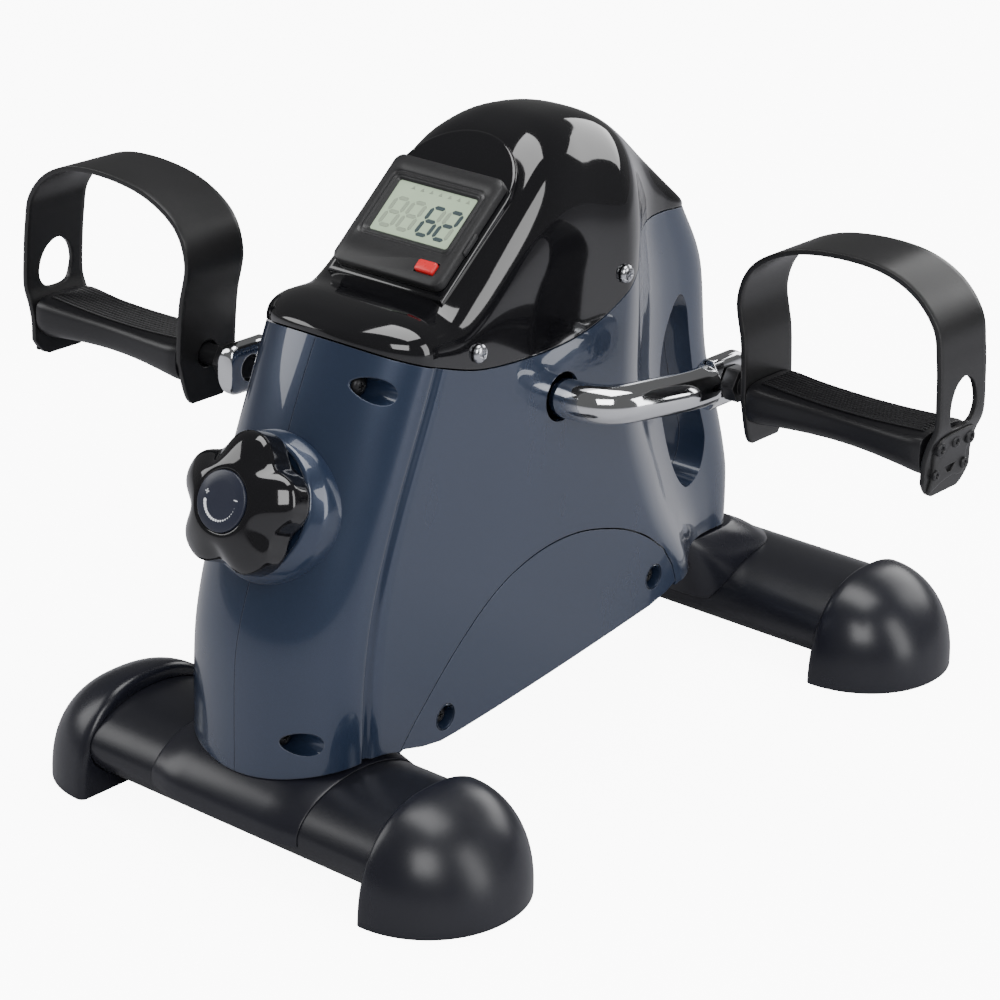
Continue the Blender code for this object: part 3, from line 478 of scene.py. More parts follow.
class Repeats:
    """Geometry Nodes trees for what repeats. Each ends in Realize Instances and Set Material."""

    @staticmethod
    def _socket(tree: Tree, name: str, kind: str, output: bool = False) -> str:
        """Adds an interface socket and returns its identifier."""
        way = "OUTPUT" if output else "INPUT"
        return tree.interface.new_socket(name=name, in_out=way, socket_type=kind).identifier

    @staticmethod
    def _close(tree: Tree, last: Socket, material: Socket) -> None:
        """Ends a tree in Realize Instances and Set Material.

        Args:
            tree: the tree.
            last: the geometry so far.
            material: the finish.
        """
        realize = tree.nodes.new("GeometryNodeRealizeInstances")
        paint = tree.nodes.new("GeometryNodeSetMaterial")
        out = tree.nodes.new("NodeGroupOutput")
        tree.links.new(last, realize.inputs["Geometry"])
        join(tree, realize, "Geometry", paint, "Geometry")
        tree.links.new(material, paint.inputs["Material"])
        join(tree, paint, "Geometry", out, 0)

    @staticmethod
    def row() -> tuple[Tree, dict[str, str]]:
        """A tree that repeats a piece along a line.

        Returns:
            The tree, and the identifiers of its inputs by name.
        """
        tree = bpy.data.node_groups.new("repeat_in_a_row", "GeometryNodeTree")
        ids = {
            "Piece": Repeats._socket(tree, "Piece", "NodeSocketObject"),
            "Count": Repeats._socket(tree, "Count", "NodeSocketInt"),
            "Start": Repeats._socket(tree, "Start", "NodeSocketVector"),
            "Spacing": Repeats._socket(tree, "Spacing", "NodeSocketVector"),
            "Material": Repeats._socket(tree, "Material", "NodeSocketMaterial"),
        }
        Repeats._socket(tree, "Geometry", "NodeSocketGeometry", output=True)
        source = tree.nodes.new("NodeGroupInput")
        line = tree.nodes.new("GeometryNodeMeshLine")
        info = tree.nodes.new("GeometryNodeObjectInfo")
        place = tree.nodes.new("GeometryNodeInstanceOnPoints")
        join(tree, source, "Count", line, "Count")
        join(tree, source, "Start", line, "Start Location")
        join(tree, source, "Spacing", line, "Offset")
        join(tree, source, "Piece", info, "Object")
        join(tree, line, "Mesh", place, "Points")
        join(tree, info, "Geometry", place, "Instance")
        Repeats._close(tree, place.outputs["Instances"], source.outputs["Material"])
        return tree, ids

    @staticmethod
    def scatter() -> tuple[Tree, dict[str, str]]:
        """A tree that puts a piece on each point of the host, turned and scaled by the point's attributes.

        Returns:
            The tree, and the identifiers of its inputs by name.
        """
        tree = bpy.data.node_groups.new("place_on_points", "GeometryNodeTree")
        Repeats._socket(tree, "Points", "NodeSocketGeometry")
        ids = {
            "Piece": Repeats._socket(tree, "Piece", "NodeSocketObject"),
            "Size": Repeats._socket(tree, "Size", "NodeSocketFloat"),
            "Material": Repeats._socket(tree, "Material", "NodeSocketMaterial"),
        }
        Repeats._socket(tree, "Geometry", "NodeSocketGeometry", output=True)
        source = tree.nodes.new("NodeGroupInput")
        info = tree.nodes.new("GeometryNodeObjectInfo")
        place = tree.nodes.new("GeometryNodeInstanceOnPoints")
        turn = tree.nodes.new("GeometryNodeInputNamedAttribute")
        turn.data_type = "FLOAT_VECTOR"
        preset(turn, {"Name": "turn"})
        share = tree.nodes.new("GeometryNodeInputNamedAttribute")
        share.data_type = "FLOAT"
        preset(share, {"Name": "share"})
        times = tree.nodes.new("ShaderNodeMath")
        times.operation = "MULTIPLY"
        join(tree, source, "Points", place, "Points")
        join(tree, source, "Piece", info, "Object")
        join(tree, info, "Geometry", place, "Instance")
        join(tree, turn, "Attribute", place, "Rotation")
        join(tree, share, "Attribute", times, 0)
        join(tree, source, "Size", times, 1)
        join(tree, times, "Value", place, "Scale")
        Repeats._close(tree, place.outputs["Instances"], source.outputs["Material"])
        return tree, ids

    def __init__(self) -> None:
        """Builds both trees once."""
        self.row_tree, self.row_ids = Repeats.row()
        self.scatter_tree, self.scatter_ids = Repeats.scatter()

    @staticmethod
    def _run(host: Object, tree: Tree, ids: dict[str, str], values: dict[str, object]) -> None:
        """Sets a tree's inputs by identifier, runs it on host and keeps the plain mesh.

        Args:
            host: the object that carries the tree.
            tree: the tree.
            ids: its input identifiers by name.
            values: the inputs' values by name.
        """
        modifier = host.modifiers.new("Repeat", "NODES")
        modifier.node_group = tree
        for name, value in values.items():
            modifier[ids[name]] = value
        MeshKit.apply(host)

    def in_row(
        self, name: str, piece: Object, count: int, start: Point, spacing: Point, material: Material
    ) -> Object:
        """Repeats a piece along a line.

        Args:
            name: the result's name.
            piece: what is repeated, which is then removed.
            count: how many.
            start: the first one's shift in millimetres.
            spacing: the shift from one to the next.
            material: the finish.

        Returns:
            One plain mesh.
        """
        host = MeshKit.mesh(name, [(0, 0, 0)], [])
        values = {
            "Piece": piece,
            "Count": count,
            "Start": tuple(v * MM for v in start),
            "Spacing": tuple(v * MM for v in spacing),
            "Material": material,
        }
        self._run(host, self.row_tree, self.row_ids, values)
        bpy.data.objects.remove(piece, do_unlink=True)
        return host

    def on_points(
        self,
        name: str,
        piece: Object,
        places: Sequence[tuple[Point, Point, float]],
        material: Material,
    ) -> Object:
        """Puts a piece at several places.

        Args:
            name: the result's name.
            piece: what is placed, standing along +Z at the origin, which is then removed.
            places: (point in millimetres, direction of its +Z, scale) for each copy.
            material: the finish.

        Returns:
            One plain mesh.
        """
        host = MeshKit.mesh(name, [], [])
        data = bpy.data.meshes.new(name)
        data.from_pydata([Vector(p) * MM for p, _, _ in places], [], [])
        data.attributes.new("turn", "FLOAT_VECTOR", "POINT")
        data.attributes.new("share", "FLOAT", "POINT")
        for i, (_, way, scale) in enumerate(places):
            data.attributes["turn"].data[i].vector = Vector(way).to_track_quat("Z", "Y").to_euler()
            data.attributes["share"].data[i].value = scale
        host.data = data
        values = {"Piece": piece, "Size": 1.0, "Material": material}
        self._run(host, self.scatter_tree, self.scatter_ids, values)
        bpy.data.objects.remove(piece, do_unlink=True)
        return host


# ---------------------------------------- finishes


class Effects:
    """Shader node groups that several finishes share. They put out values, colours and normals only."""

    def __init__(self) -> None:
        """Builds every group once."""
        self.grain = self._grain()
        self.handling = self._handling()
        self.soft_edge = self._soft_edge()

    @staticmethod
    def _group(name: str, inputs: dict[str, tuple[str, float]], outputs: dict[str, str]) -> tuple:
        """Makes an empty group with its sockets.

        Args:
            name: the group's name.
            inputs: socket type and default by name.
            outputs: socket type by name.

        Returns:
            The group, its input node and its output node.
        """
        group = bpy.data.node_groups.new(name, "ShaderNodeTree")
        for key, (kind, default) in inputs.items():
            group.interface.new_socket(name=key, in_out="INPUT", socket_type=kind).default_value = default
        for key, kind in outputs.items():
            group.interface.new_socket(name=key, in_out="OUTPUT", socket_type=kind)
        return group, group.nodes.new("NodeGroupInput"), group.nodes.new("NodeGroupOutput")

    def _grain(self) -> Tree:
        """Fine moulded or sprayed texture: a height for Bump and a mask for roughness.

        Returns:
            The group.
        """
        wanted = {"Scale": ("NodeSocketFloat", 900.0), "Mottle Scale": ("NodeSocketFloat", 22.0)}
        given = {"Height": "NodeSocketFloat", "Mottle": "NodeSocketFloat"}
        group, source, sink = self._group("surface_grain", wanted, given)
        place = group.nodes.new("ShaderNodeTexCoord")
        fine = group.nodes.new("ShaderNodeTexNoise")
        preset(fine, {"Detail": 3.0})
        broad = group.nodes.new("ShaderNodeTexNoise")
        preset(broad, {"Detail": 4.0})
        join(group, place, "Object", fine, "Vector")
        join(group, place, "Object", broad, "Vector")
        join(group, source, "Scale", fine, "Scale")
        join(group, source, "Mottle Scale", broad, "Scale")
        join(group, fine, "Fac", sink, "Height")
        join(group, broad, "Fac", sink, "Mottle")
        return group

    def _handling(self) -> Tree:
        """Faint smears that lift roughness here and there, as on anything that is handled.

        Returns:
            The group.
        """
        number = "NodeSocketFloat"
        wanted = {"Low": (number, 0.1), "High": (number, 0.2), "Scale": (number, 9.0)}
        group, source, sink = self._group("handling_marks", wanted, {"Roughness": "NodeSocketFloat"})
        place = group.nodes.new("ShaderNodeTexCoord")
        stretch = group.nodes.new("ShaderNodeMapping")
        preset(stretch, {"Scale": SMEAR_STRETCH})
        noise = group.nodes.new("ShaderNodeTexNoise")
        preset(noise, {"Detail": 6.0, "Roughness": 0.62})
        spread = group.nodes.new("ShaderNodeMapRange")
        preset(spread, {"From Min": SMEAR_LOW, "From Max": SMEAR_HIGH})
        join(group, place, "Object", stretch, "Vector")
        join(group, stretch, "Vector", noise, "Vector")
        join(group, source, "Scale", noise, "Scale")
        join(group, noise, "Fac", spread, "Value")
        join(group, source, "Low", spread, "To Min")
        join(group, source, "High", spread, "To Max")
        join(group, spread, "Result", sink, "Roughness")
        return group

    def _soft_edge(self) -> Tree:
        """Rounds the shading of edges, and marks where they are for the painted edge highlight.

        Returns:
            The group.
        """
        wanted = {"Normal": ("NodeSocketVector", (0.0, 0.0, 0.0))}
        given = {"Normal": "NodeSocketVector", "Edge": "NodeSocketFloat"}
        group, source, sink = self._group("soft_edge", wanted, given)
        round_off = group.nodes.new("ShaderNodeBevel")
        round_off.samples = EDGE_SAMPLES
        preset(round_off, {"Radius": EDGE_RADIUS * MM})
        shape = group.nodes.new("ShaderNodeNewGeometry")
        match = group.nodes.new("ShaderNodeVectorMath")
        match.operation = "DOT_PRODUCT"
        edge = group.nodes.new("ShaderNodeMapRange")
        preset(edge, {"From Min": EDGE_ONSET, "From Max": EDGE_FULL})
        join(group, source, "Normal", round_off, "Normal")
        join(group, round_off, "Normal", sink, "Normal")
        join(group, round_off, "Normal", match, 0)
        join(group, shape, "Normal", match, 1)
        join(group, match, "Value", edge, "Value")
        join(group, edge, "Result", sink, "Edge")
        return group


class Surface(Enum):
    """What a finish is made of."""

    LACQUER = "metallic lacquer"
    GLOSS = "polished moulding"
    SATIN = "grained moulding"
    METAL = "bare metal"


@dataclass(frozen=True)
class Finish:
    """One finish of the exerciser.

    Attributes:
        name: the material's name.
        colour: its base colour, linear.
        surface: what it is made of.
        rough: its lowest and highest roughness.
        grain: the grain's scale, in cells per metre.
        bump: the grain's height in millimetres.
        edge: how much paler its edges are, a painted highlight along them.
        coat: how much clear coat lies on it.
        metallic: how metallic its base is.
    """

    name: str
    colour: tuple[float, float, float]
    surface: Surface
    rough: tuple[float, float] = (0.1, 0.2)
    grain: float = 1500.0
    bump: float = 0.0
    edge: float = 0.0
    coat: float = 0.0
    metallic: float = 0.0

    def build(self, effects: Effects) -> Material:
        """Makes the material.

        Args:
            effects: the shared node groups.

        Returns:
            The material.
        """
        made = bpy.data.materials.new(self.name)
        made.use_nodes = True
        tree = made.node_tree
        shader = tree.nodes["Principled BSDF"]
        preset(shader, {
            "Metallic": self.metallic,
            "Coat Weight": self.coat,
            "Coat Roughness": COAT_ROUGHNESS,
        })
        grain = self._place(tree, effects.grain)
        preset(grain, {"Scale": self.grain})
        marks = self._place(tree, effects.handling)
        preset(marks, {"Low": self.rough[0], "High": self.rough[1]})
        join(tree, marks, "Roughness", shader, "Roughness")
        edge = self._place(tree, effects.soft_edge)
        self._colour(tree, shader, grain, edge)
        if self.bump:
            bump = tree.nodes.new("ShaderNodeBump")
            preset(bump, {"Distance": self.bump * MM, "Strength": 1.0})
            join(tree, grain, "Height", bump, "Height")
            join(tree, edge, "Normal", bump, "Normal")
            join(tree, bump, "Normal", shader, "Normal")
        else:
            join(tree, edge, "Normal", shader, "Normal")
        return made

    @staticmethod
    def _place(tree: Tree, group: Tree) -> Node:
        """Puts a shared group into a material.

        Args:
            tree: the material's tree.
            group: the shared group.

        Returns:
            The group's node.
        """
        node = tree.nodes.new("ShaderNodeGroup")
        node.node_tree = group
        return node

    def _colour(self, tree: Tree, shader: Node, grain: Node, edge: Node) -> None:
        """Wires the base colour: a little mottle, flakes in a lacquer, and paler edges that are a painted
        highlight.

        Args:
            tree: the material's tree.
            shader: its Principled node.
            grain: its grain group.
            edge: its edge group.
        """
        fine = self.surface is Surface.LACQUER
        spread = FLAKE_SPREAD if fine else MOTTLE_SPREAD
        ramp = tree.nodes.new("ShaderNodeMapRange")
        preset(ramp, {
            "From Min": MOTTLE_LOW,
            "From Max": MOTTLE_HIGH,
            "To Min": 1.0 - spread,
            "To Max": 1.0 + spread,
        })
        tree.links.new(grain.outputs["Height" if fine else "Mottle"], ramp.inputs["Value"])
        tint = tree.nodes.new("ShaderNodeVectorMath")
        tint.operation = "SCALE"
        tint.inputs[0].default_value = self.colour
        join(tree, ramp, "Result", tint, "Scale")
        # Edges are mixed towards a paler colour: a painted highlight along every edge.
        painted_edge_highlight = tree.nodes.new("ShaderNodeMix")
        painted_edge_highlight.data_type = "RGBA"
        preset(painted_edge_highlight, {"B": (*(min(1.0, c + self.edge) for c in self.colour), 1.0)})
        join(tree, edge, "Edge", painted_edge_highlight, "Factor")
        join(tree, tint, "Vector", painted_edge_highlight, "A")
        join(tree, painted_edge_highlight, "Result", shader, "Base Color")


@dataclass
class Finishes:
    """Every finish of the exerciser, built once."""

    effects: Effects
    navy: Material = field(init=False)
    gloss: Material = field(init=False)
    satin: Material = field(init=False)
    tube: Material = field(init=False)
    pedal: Material = field(init=False)
    strap: Material = field(init=False)
    case: Material = field(init=False)
    chrome: Material = field(init=False)
    zinc: Material = field(init=False)
    oxide: Material = field(init=False)
    iron: Material = field(init=False)
    disc: Material = field(init=False)
    ink: Material = field(init=False)
    glass: Material = field(init=False)
    segment: Material = field(init=False)
    ghost: Material = field(init=False)
    red: Material = field(init=False)
    grey: Material = field(init=False)
    rubber: Material = field(init=False)
    felt: Material = field(init=False)
    board: Material = field(init=False)
    painted: Material = field(init=False)

    def __post_init__(self) -> None:
        """Builds each finish from its numbers."""
        lacquer, gloss, satin, metal = Surface.LACQUER, Surface.GLOSS, Surface.SATIN, Surface.METAL
        wanted = {
            "navy": Finish(
                "navy_lacquer", (0.017, 0.029, 0.06), lacquer, (0.26, 0.34),
                grain=5200.0, edge=0.02, coat=1.0, metallic=0.35,
            ),
            "gloss": Finish(
                "black_gloss", (0.0045, 0.0045, 0.0055), gloss, (0.05, 0.1),
                grain=2600.0, edge=0.008, coat=0.5,
            ),
            "satin": Finish(
                "black_moulding", (0.0085, 0.009, 0.014), satin, (0.26, 0.36),
                grain=2400.0, bump=0.006, edge=0.01,
            ),
            "tube": Finish(
                "black_tube_paint", (0.0085, 0.009, 0.013), satin, (0.28, 0.36),
                grain=3000.0, bump=0.004, edge=0.01,
            ),
            "pedal": Finish(
                "pedal_moulding", (0.009, 0.009, 0.011), satin, (0.34, 0.44),
                grain=2600.0, bump=0.014, edge=0.014,
            ),
            "strap": Finish(
                "strap_moulding", (0.01, 0.01, 0.0108), satin, (0.3, 0.4),
                grain=2200.0, bump=0.008, edge=0.014,
            ),
            "case": Finish(
                "display_case", (0.011, 0.011, 0.012), satin, (0.36, 0.46),
                grain=3400.0, bump=0.012, edge=0.01,
            ),
            "chrome": Finish(
                "chrome_plate", (0.8, 0.81, 0.83), metal, (0.04, 0.09),
                grain=2600.0, edge=0.05, metallic=1.0,
            ),
            "zinc": Finish(
                "zinc_plate", (0.62, 0.63, 0.66), metal, (0.16, 0.26),
                grain=2600.0, bump=0.004, edge=0.08, metallic=1.0,
            ),
            "oxide": Finish(
                "black_oxide", (0.022, 0.022, 0.024), metal, (0.3, 0.42),
                grain=3000.0, bump=0.006, edge=0.05, metallic=0.6,
            ),
            "iron": Finish(
                "cast_iron", (0.17, 0.17, 0.18), metal, (0.38, 0.52),
                bump=0.02, edge=0.1, metallic=0.9,
            ),
            "disc": Finish(
                "navy_disc", (0.015, 0.018, 0.032), satin, (0.26, 0.36),
                grain=3000.0, bump=0.004, edge=0.02,
            ),
            "ink": Finish("pale_print", (0.74, 0.76, 0.8), satin, (0.45, 0.55), grain=3000.0),
            "glass": Finish(
                "display_glass", (0.38, 0.48, 0.34), gloss, (0.16, 0.22),
                grain=3000.0, coat=0.4,
            ),
            "segment": Finish("lit_segment", (0.035, 0.055, 0.06), satin, (0.35, 0.45), grain=3000.0),
            "ghost": Finish("unlit_segment", (0.25, 0.3, 0.225), satin, (0.35, 0.45), grain=3000.0),
            "red": Finish(
                "red_button", (0.62, 0.018, 0.022), gloss, (0.22, 0.3),
                grain=2600.0, bump=0.004, edge=0.05,
            ),
            "grey": Finish(
                "grey_moulding", (0.23, 0.24, 0.25), satin, (0.42, 0.54),
                grain=2000.0, bump=0.012, edge=0.04,
            ),
            "rubber": Finish(
                "belt_rubber", (0.018, 0.018, 0.018), satin, (0.62, 0.78),
                grain=1400.0, bump=0.03, edge=0.01,
            ),
            "felt": Finish(
                "brake_felt", (0.3, 0.25, 0.18), satin, (0.88, 0.97),
                grain=900.0, bump=0.25, edge=0.03,
            ),
            "board": Finish(
                "circuit_board_mask", (0.02, 0.14, 0.06), gloss, (0.22, 0.34),
                grain=2400.0, bump=0.004, edge=0.03,
            ),
            "painted": Finish(
                "frame_paint", (0.07, 0.07, 0.08), satin, (0.32, 0.44),
                grain=1800.0, bump=0.01, edge=0.06, coat=0.1, metallic=0.3,
            ),
        }
        for key, finish in wanted.items():
            setattr(self, key, finish.build(self.effects))


# ---------------------------------------- the body's outline


@dataclass(frozen=True)
class Outline:
    """The housing's and the hood's shared form, as smooth curves through a few knots."""

    half_width: float = 46.0
    groove_walls: Knots = (
        (-2.9, 0.25), (-2.2, 1.2), (-1.5, 2.1), (-0.8, 2.4), (0.8, 2.4), (1.5, 2.1), (2.2, 1.2), (2.7, 0.4),
    )
    groove_reach: float = 3.4
    front: Knots = (
        (44, -199), (85, -199), (100, -197.5), (120, -192), (157, -178), (200, -162), (232, -147.5),
    )
    groove: Knots = ((44, -164.5), (87, -163.5), (120, -158.5), (157, -146.5), (200, -129), (232, -117))
    crease: Knots = (
        (56, 62), (70, 57), (87, 42), (100, 33), (120, 23), (140, 14), (157, 9), (178, 6), (232, 7),
    )
    rear: Knots = (
        (60, 148), (87, 148.5), (100, 146), (120, 139.5), (157, 125.5), (200, 118), (215, 112), (236, 98),
    )
    taper: Knots = (
        (0, 1), (0.02, 0.9985), (0.08, 0.965), (0.16, 0.885), (0.3, 0.69), (0.45, 0.505),
        (0.58, 0.40), (0.72, 0.35), (0.86, 0.335), (0.93, 0.28), (0.975, 0.17), (1.0, 0.0),
    )
    seam: Knots = (
        (-152, 227.8), (-141, 222.8), (-122, 216.5), (-95, 209), (-62, 206.2), (-34, 207),
        (-13, 211), (5, 218.5), (26, 230), (44, 237), (70, 238), (99, 235.5),
    )
    hood_top: Knots = (
        (-152, 228.8), (-147, 232), (-138, 235.8), (-126, 238), (-112, 238), (-105, 241), (-80, 263),
        (-50, 289), (-38, 297), (-18, 302.4), (11, 298.5), (41, 283), (70, 261), (90, 243.5), (99, 236.4),
    )
    hood_power: Knots = ((-156, 2.2), (-110, 3.6), (-60, 4.2), (-10, 2.9), (40, 2.5), (99, 2.2))
    slot: Knots = (
        (88, 193), (77, 178), (71.5, 158), (72, 138), (77.5, 118), (87, 102), (100, 92),
        (113, 96), (117, 112), (111, 130), (104, 150), (99, 170), (95, 187),
    )
    arch: Knots = (
        (-144, 42), (-130, 58), (-104, 83), (-78, 101.5), (-50, 111), (-21, 112), (9, 105), (30, 95.5),
        (46, 84),
    )
    tube_y: float = -166.0
    tube_z: float = 23.0

    def base_height(self, y: float) -> float:
        """The housing's lower edge at y.

        Args:
            y: the place.

        Returns:
            The edge's height.
        """
        over_y, over_z = 44.0, 24.0
        share = (min(y, -136.0) - self.tube_y) / over_y
        over = self.tube_z + over_z * math.sqrt(max(0.0, 1.0 - share**2)) + 0.3
        if y < -136.0:
            return over
        return Curves.value([(-136, over), (-110, 38), (42, 56), (60, 62), (148, 60)], y)

    def section(self, z: float, inset: float, fine: int) -> Pairs:
        """Half of the housing's outline at a height.

        Args:
            z: the height.
            inset: how far inside the surface it lies.
            fine: how finely it is drawn.

        Returns:
            (x, y) points from the front round to the rear.
        """
        front = Curves.value(self.front, z) + inset
        groove = Curves.value(self.groove, z)
        crease = Curves.value(self.crease, z)
        rear = Curves.value(self.rear, z) - inset
        wide = self.half_width - inset
        reach = groove - self.groove_reach - front
        points = []
        for k in range(7 * fine + 1):
            angle = math.pi / 2 * k / (7 * fine)
            points.append((wide * math.sin(angle), front + reach * (1.0 - math.cos(angle))))
        for step_y, depth in self.groove_walls:
            points.append((wide - depth, groove + step_y))
        start = groove + self.groove_reach
        for k in range(8 * fine):
            points.append((wide, start + (crease - start) * k / (8 * fine)))
        for k in range(12 * fine + 1):
            share = k / (12 * fine)
            share = 1.0 - (1.0 - share) ** 1.15
            half = Curves.value(self.taper, share) * self.half_width
            half = half - inset if share < 0.9 else half * (1.0 - inset / 15.0)
            points.append((max(half, 0.0), crease + (rear - crease) * share))
        return points

    def rows(self, inset: float, drop: float, rise: float, count: int, fine: int) -> list[list[Point]]:
        """The housing's right side from the lower edge to the seam.

        Args:
            inset: how far inside the surface it lies.
            drop: how far it starts below the lower edge.
            rise: how far it ends above the seam.
            count: how many steps it has upwards.
            fine: how finely each row is drawn.

        Returns:
            Rows of points.
        """
        columns = len(self.section(100.0, inset, fine))
        heights = [120.0] * columns
        made = []
        for j in range(count + 1):
            for _ in range(7):
                row = [self._point(heights[i], inset, fine, i) for i in range(columns)]
                for i, (_, y) in enumerate(row):
                    low = self.base_height(y) - drop
                    heights[i] = low + (Curves.value(self.seam, y) + rise - low) * j / count
            made.append([(row[i][0], row[i][1], heights[i]) for i in range(columns)])
        return made

    def _point(self, z: float, inset: float, fine: int, index: int) -> tuple[float, float]:
        """One point of the section at z, read between two kept sections, because it is asked for so often.

        Args:
            z: the height.
            inset: how far inside the surface it lies.
            fine: how finely it is drawn.
            index: the point's number.

        Returns:
            The point's (x, y).
        """
        low = math.floor(z)
        share = z - low
        for level in (low, low + 1):
            if (level, inset, fine) not in _SECTIONS:
                _SECTIONS[(level, inset, fine)] = self.section(level, inset, fine)
        below, above = _SECTIONS[(low, inset, fine)][index], _SECTIONS[(low + 1, inset, fine)][index]
        return (below[0] + (above[0] - below[0]) * share, below[1] + (above[1] - below[1]) * share)


_SECTIONS: dict[tuple[int, float, int], Pairs] = {}


# ---------------------------------------- sub-assemblies


@dataclass
class Base:
    """The oval floor tubes, their end caps and the saddles."""

    finishes: Finishes
    tube_y: float = 166.0
    tube_z: float = 23.0
    half_width: float = 40.0
    half_height: float = 20.0
    tube_half_length: float = 94.0
    cap_x: float = 82.5
    cap_length: float = 46.0
    cap_half_width: float = 46.0
    cap_height: float = 50.0
    cap_power: float = 2.4
    clearance: float = 0.3
    beam_z: float = 50.4
    beam: tuple[float, float, float] = (28.6, 321.6, 14.6)

    def build(self) -> None:
        """Makes both tubes, the four caps and both saddles."""
        for tag, y in (("front", -self.tube_y), ("rear", self.tube_y)):
            self._tube(tag, y)
            for side in Side:
                self._cap(f"{tag}_{side.tag}", side.value, y)
        self._front_saddle()
        self._rear_saddle()

    def _oval(self, x: float, y: float, grow: float, steps: int = 96) -> Ring:
        """A ring round the tube's section.

        Args:
            x: where the ring stands.
            y: the tube's axis.
            grow: how far outside the tube it lies.
            steps: points round it.

        Returns:
            The ring.
        """
        ring = []
        for k in range(steps):
            angle = 2 * math.pi * k / steps
            across = y + (self.half_width + grow) * math.cos(angle)
            ring.append((x, across, self.tube_z + (self.half_height + grow) * math.sin(angle)))
        return ring

    def _tube(self, tag: str, y: float) -> None:
        """A painted tube with open ends inside its caps.

        Args:
            tag: front or rear.
            y: its axis.
        """
        end = self.tube_half_length
        spans = [-end + 2 * end * k / 12 for k in range(13)]
        rings = [self._oval(x, y, 0.0) for x in spans] + [self._oval(x, y, -2.0) for x in reversed(spans)]
        tube = MeshKit.loft(f"floor_tube_{tag}", rings, loop=True)
        MeshKit.finish(tube, "stand", self.finishes.tube, [f"tube_{tag}"], "black_paint")

    def _cap(self, tag: str, side: int, y: float) -> None:
        """A domed boot with a rolled rim, a flat sole and a socket for the tube.

        Args:
            tag: its place in words.
            side: the sign of X.
            y: the tube's axis.
        """
        stations = [(0.0, 0.940), (0.35, 0.962), (1.0, 0.980), (1.9, 0.993), (3.0, 1.0)]
        for k in range(1, 25):
            angle = math.pi / 2 * k / 24.5
            stations.append((3.0 + (self.cap_length - 3.0) * math.sin(angle), math.cos(angle) ** 0.95))
        outside = []
        for out, scale in stations:
            ring = []
            for k in range(49):
                angle = math.pi * k / 48
                c, s = math.cos(angle), math.sin(angle)
                wide = math.copysign(abs(c) ** (2 / self.cap_power), c)
                tall = s ** (2 / self.cap_power) if 0 < k < 48 else 0.0
                across = y + self.cap_half_width * scale * wide
                ring.append((side * (self.cap_x + out), across, self.cap_height * scale * tall))
            outside.append(ring)
        cap = MeshKit.loft(f"floor_cap_{tag}", outside)
        ends = (self.cap_x - 5, self.tube_half_length + self.clearance)
        socket = [self._oval(side * x, y, self.clearance, 72) for x in ends]
        MeshKit.combine(cap, [MeshKit.loft("socket", socket)])
        MeshKit.finish(cap, "stand", self.finishes.satin, [f"cap_{tag}"], "black_plastic", math.radians(40))

    def _front_saddle(self) -> None:
        """The cover that wraps over the front tube and flares at both ends."""
        y, length = -self.tube_y, 44.0
        shares = [-1.0, -0.98, -0.94, -0.88, -0.8, -0.7, -0.55, 0.0, 0.55, 0.7, 0.8, 0.88, 0.94, 0.98, 1.0]
        walls = [0.15, 0.4, 0.85, 1.5, 2.35, 3.05, 3.4, 3.4, 3.4, 3.05, 2.35, 1.5, 0.85, 0.4, 0.15]
        rings = []
        for share, wall in zip(shares, walls):
            outer = [(length * share, a, b) for a, b in self._arc(y, self.clearance + wall)]
            inner = [(length * share, a, b) for a, b in self._arc(y, self.clearance)]
            rings.append(outer + inner[::-1])
        saddle = MeshKit.loft("front_saddle", rings)
        notch = MeshKit.mesh("notch", *self._box((0, -14, self.beam_z), self.beam))
        MeshKit.combine(saddle, [notch])
        MeshKit.finish(saddle, "stand", self.finishes.satin, ["saddle_front"], "black_plastic")

    def _arc(self, y: float, grow: float) -> Pairs:
        """The saddle's wrap round the tube, as (y, z).

        Args:
            y: the tube's axis.
            grow: how far outside the tube it lies.

        Returns:
            The wrap's points.
        """
        made = []
        for k in range(57):
            angle = math.radians(-8 + 196 * k / 56)
            across = y + (self.half_width + grow) * math.cos(angle)
            made.append((across, self.tube_z + (self.half_height + grow) * math.sin(angle)))
        return made

    @staticmethod
    def _box(centre: Point, size: Point) -> tuple[list[Point], Faces]:
        """A box's points and faces.

        Args:
            centre: its centre.
            size: its three sizes.

        Returns:
            The points and the faces.
        """
        signs = [(x, y, z) for x in (-0.5, 0.5) for y in (-0.5, 0.5) for z in (-0.5, 0.5)]
        points = [tuple(c + s * k for c, s, k in zip(centre, size, sign)) for sign in signs]
        return points, [(0, 1, 3, 2), (4, 6, 7, 5), (0, 4, 5, 1), (2, 3, 7, 6), (0, 2, 6, 4), (1, 5, 7, 3)]

    def _rear_saddle(self) -> None:
        """The block between the rear tube and the foot of the handle."""
        levels = (
            (24, 26, 122, 190), (34, 25.4, 116.5, 184), (45, 24, 110, 178), (53, 20.6, 105.5, 165),
            (57.8, 18.2, 102.8, 155), (59.2, 17, 102, 152),
        )
        rings = []
        for z, wide, low, high in levels:
            ring = []
            for k in range(72):
                angle = 2 * math.pi * k / 72
                c, s = math.cos(angle), math.sin(angle)
                x = wide * math.copysign(abs(c) ** 0.625, c)
                ring.append((x, (low + high) / 2 + (high - low) / 2 * math.copysign(abs(s) ** 0.625, s), z))
            rings.append(ring)
        saddle = MeshKit.loft("rear_saddle", rings)
        over = MeshKit.loft("over", [self._oval(x, self.tube_y, self.clearance, 72) for x in (-60, 60)])
        notch = MeshKit.mesh("notch", *self._box((0, -13.5, self.beam_z), self.beam))
        MeshKit.combine(saddle, [over, notch])
        MeshKit.finish(saddle, "stand", self.finishes.satin, ["saddle_rear"], "black_plastic")


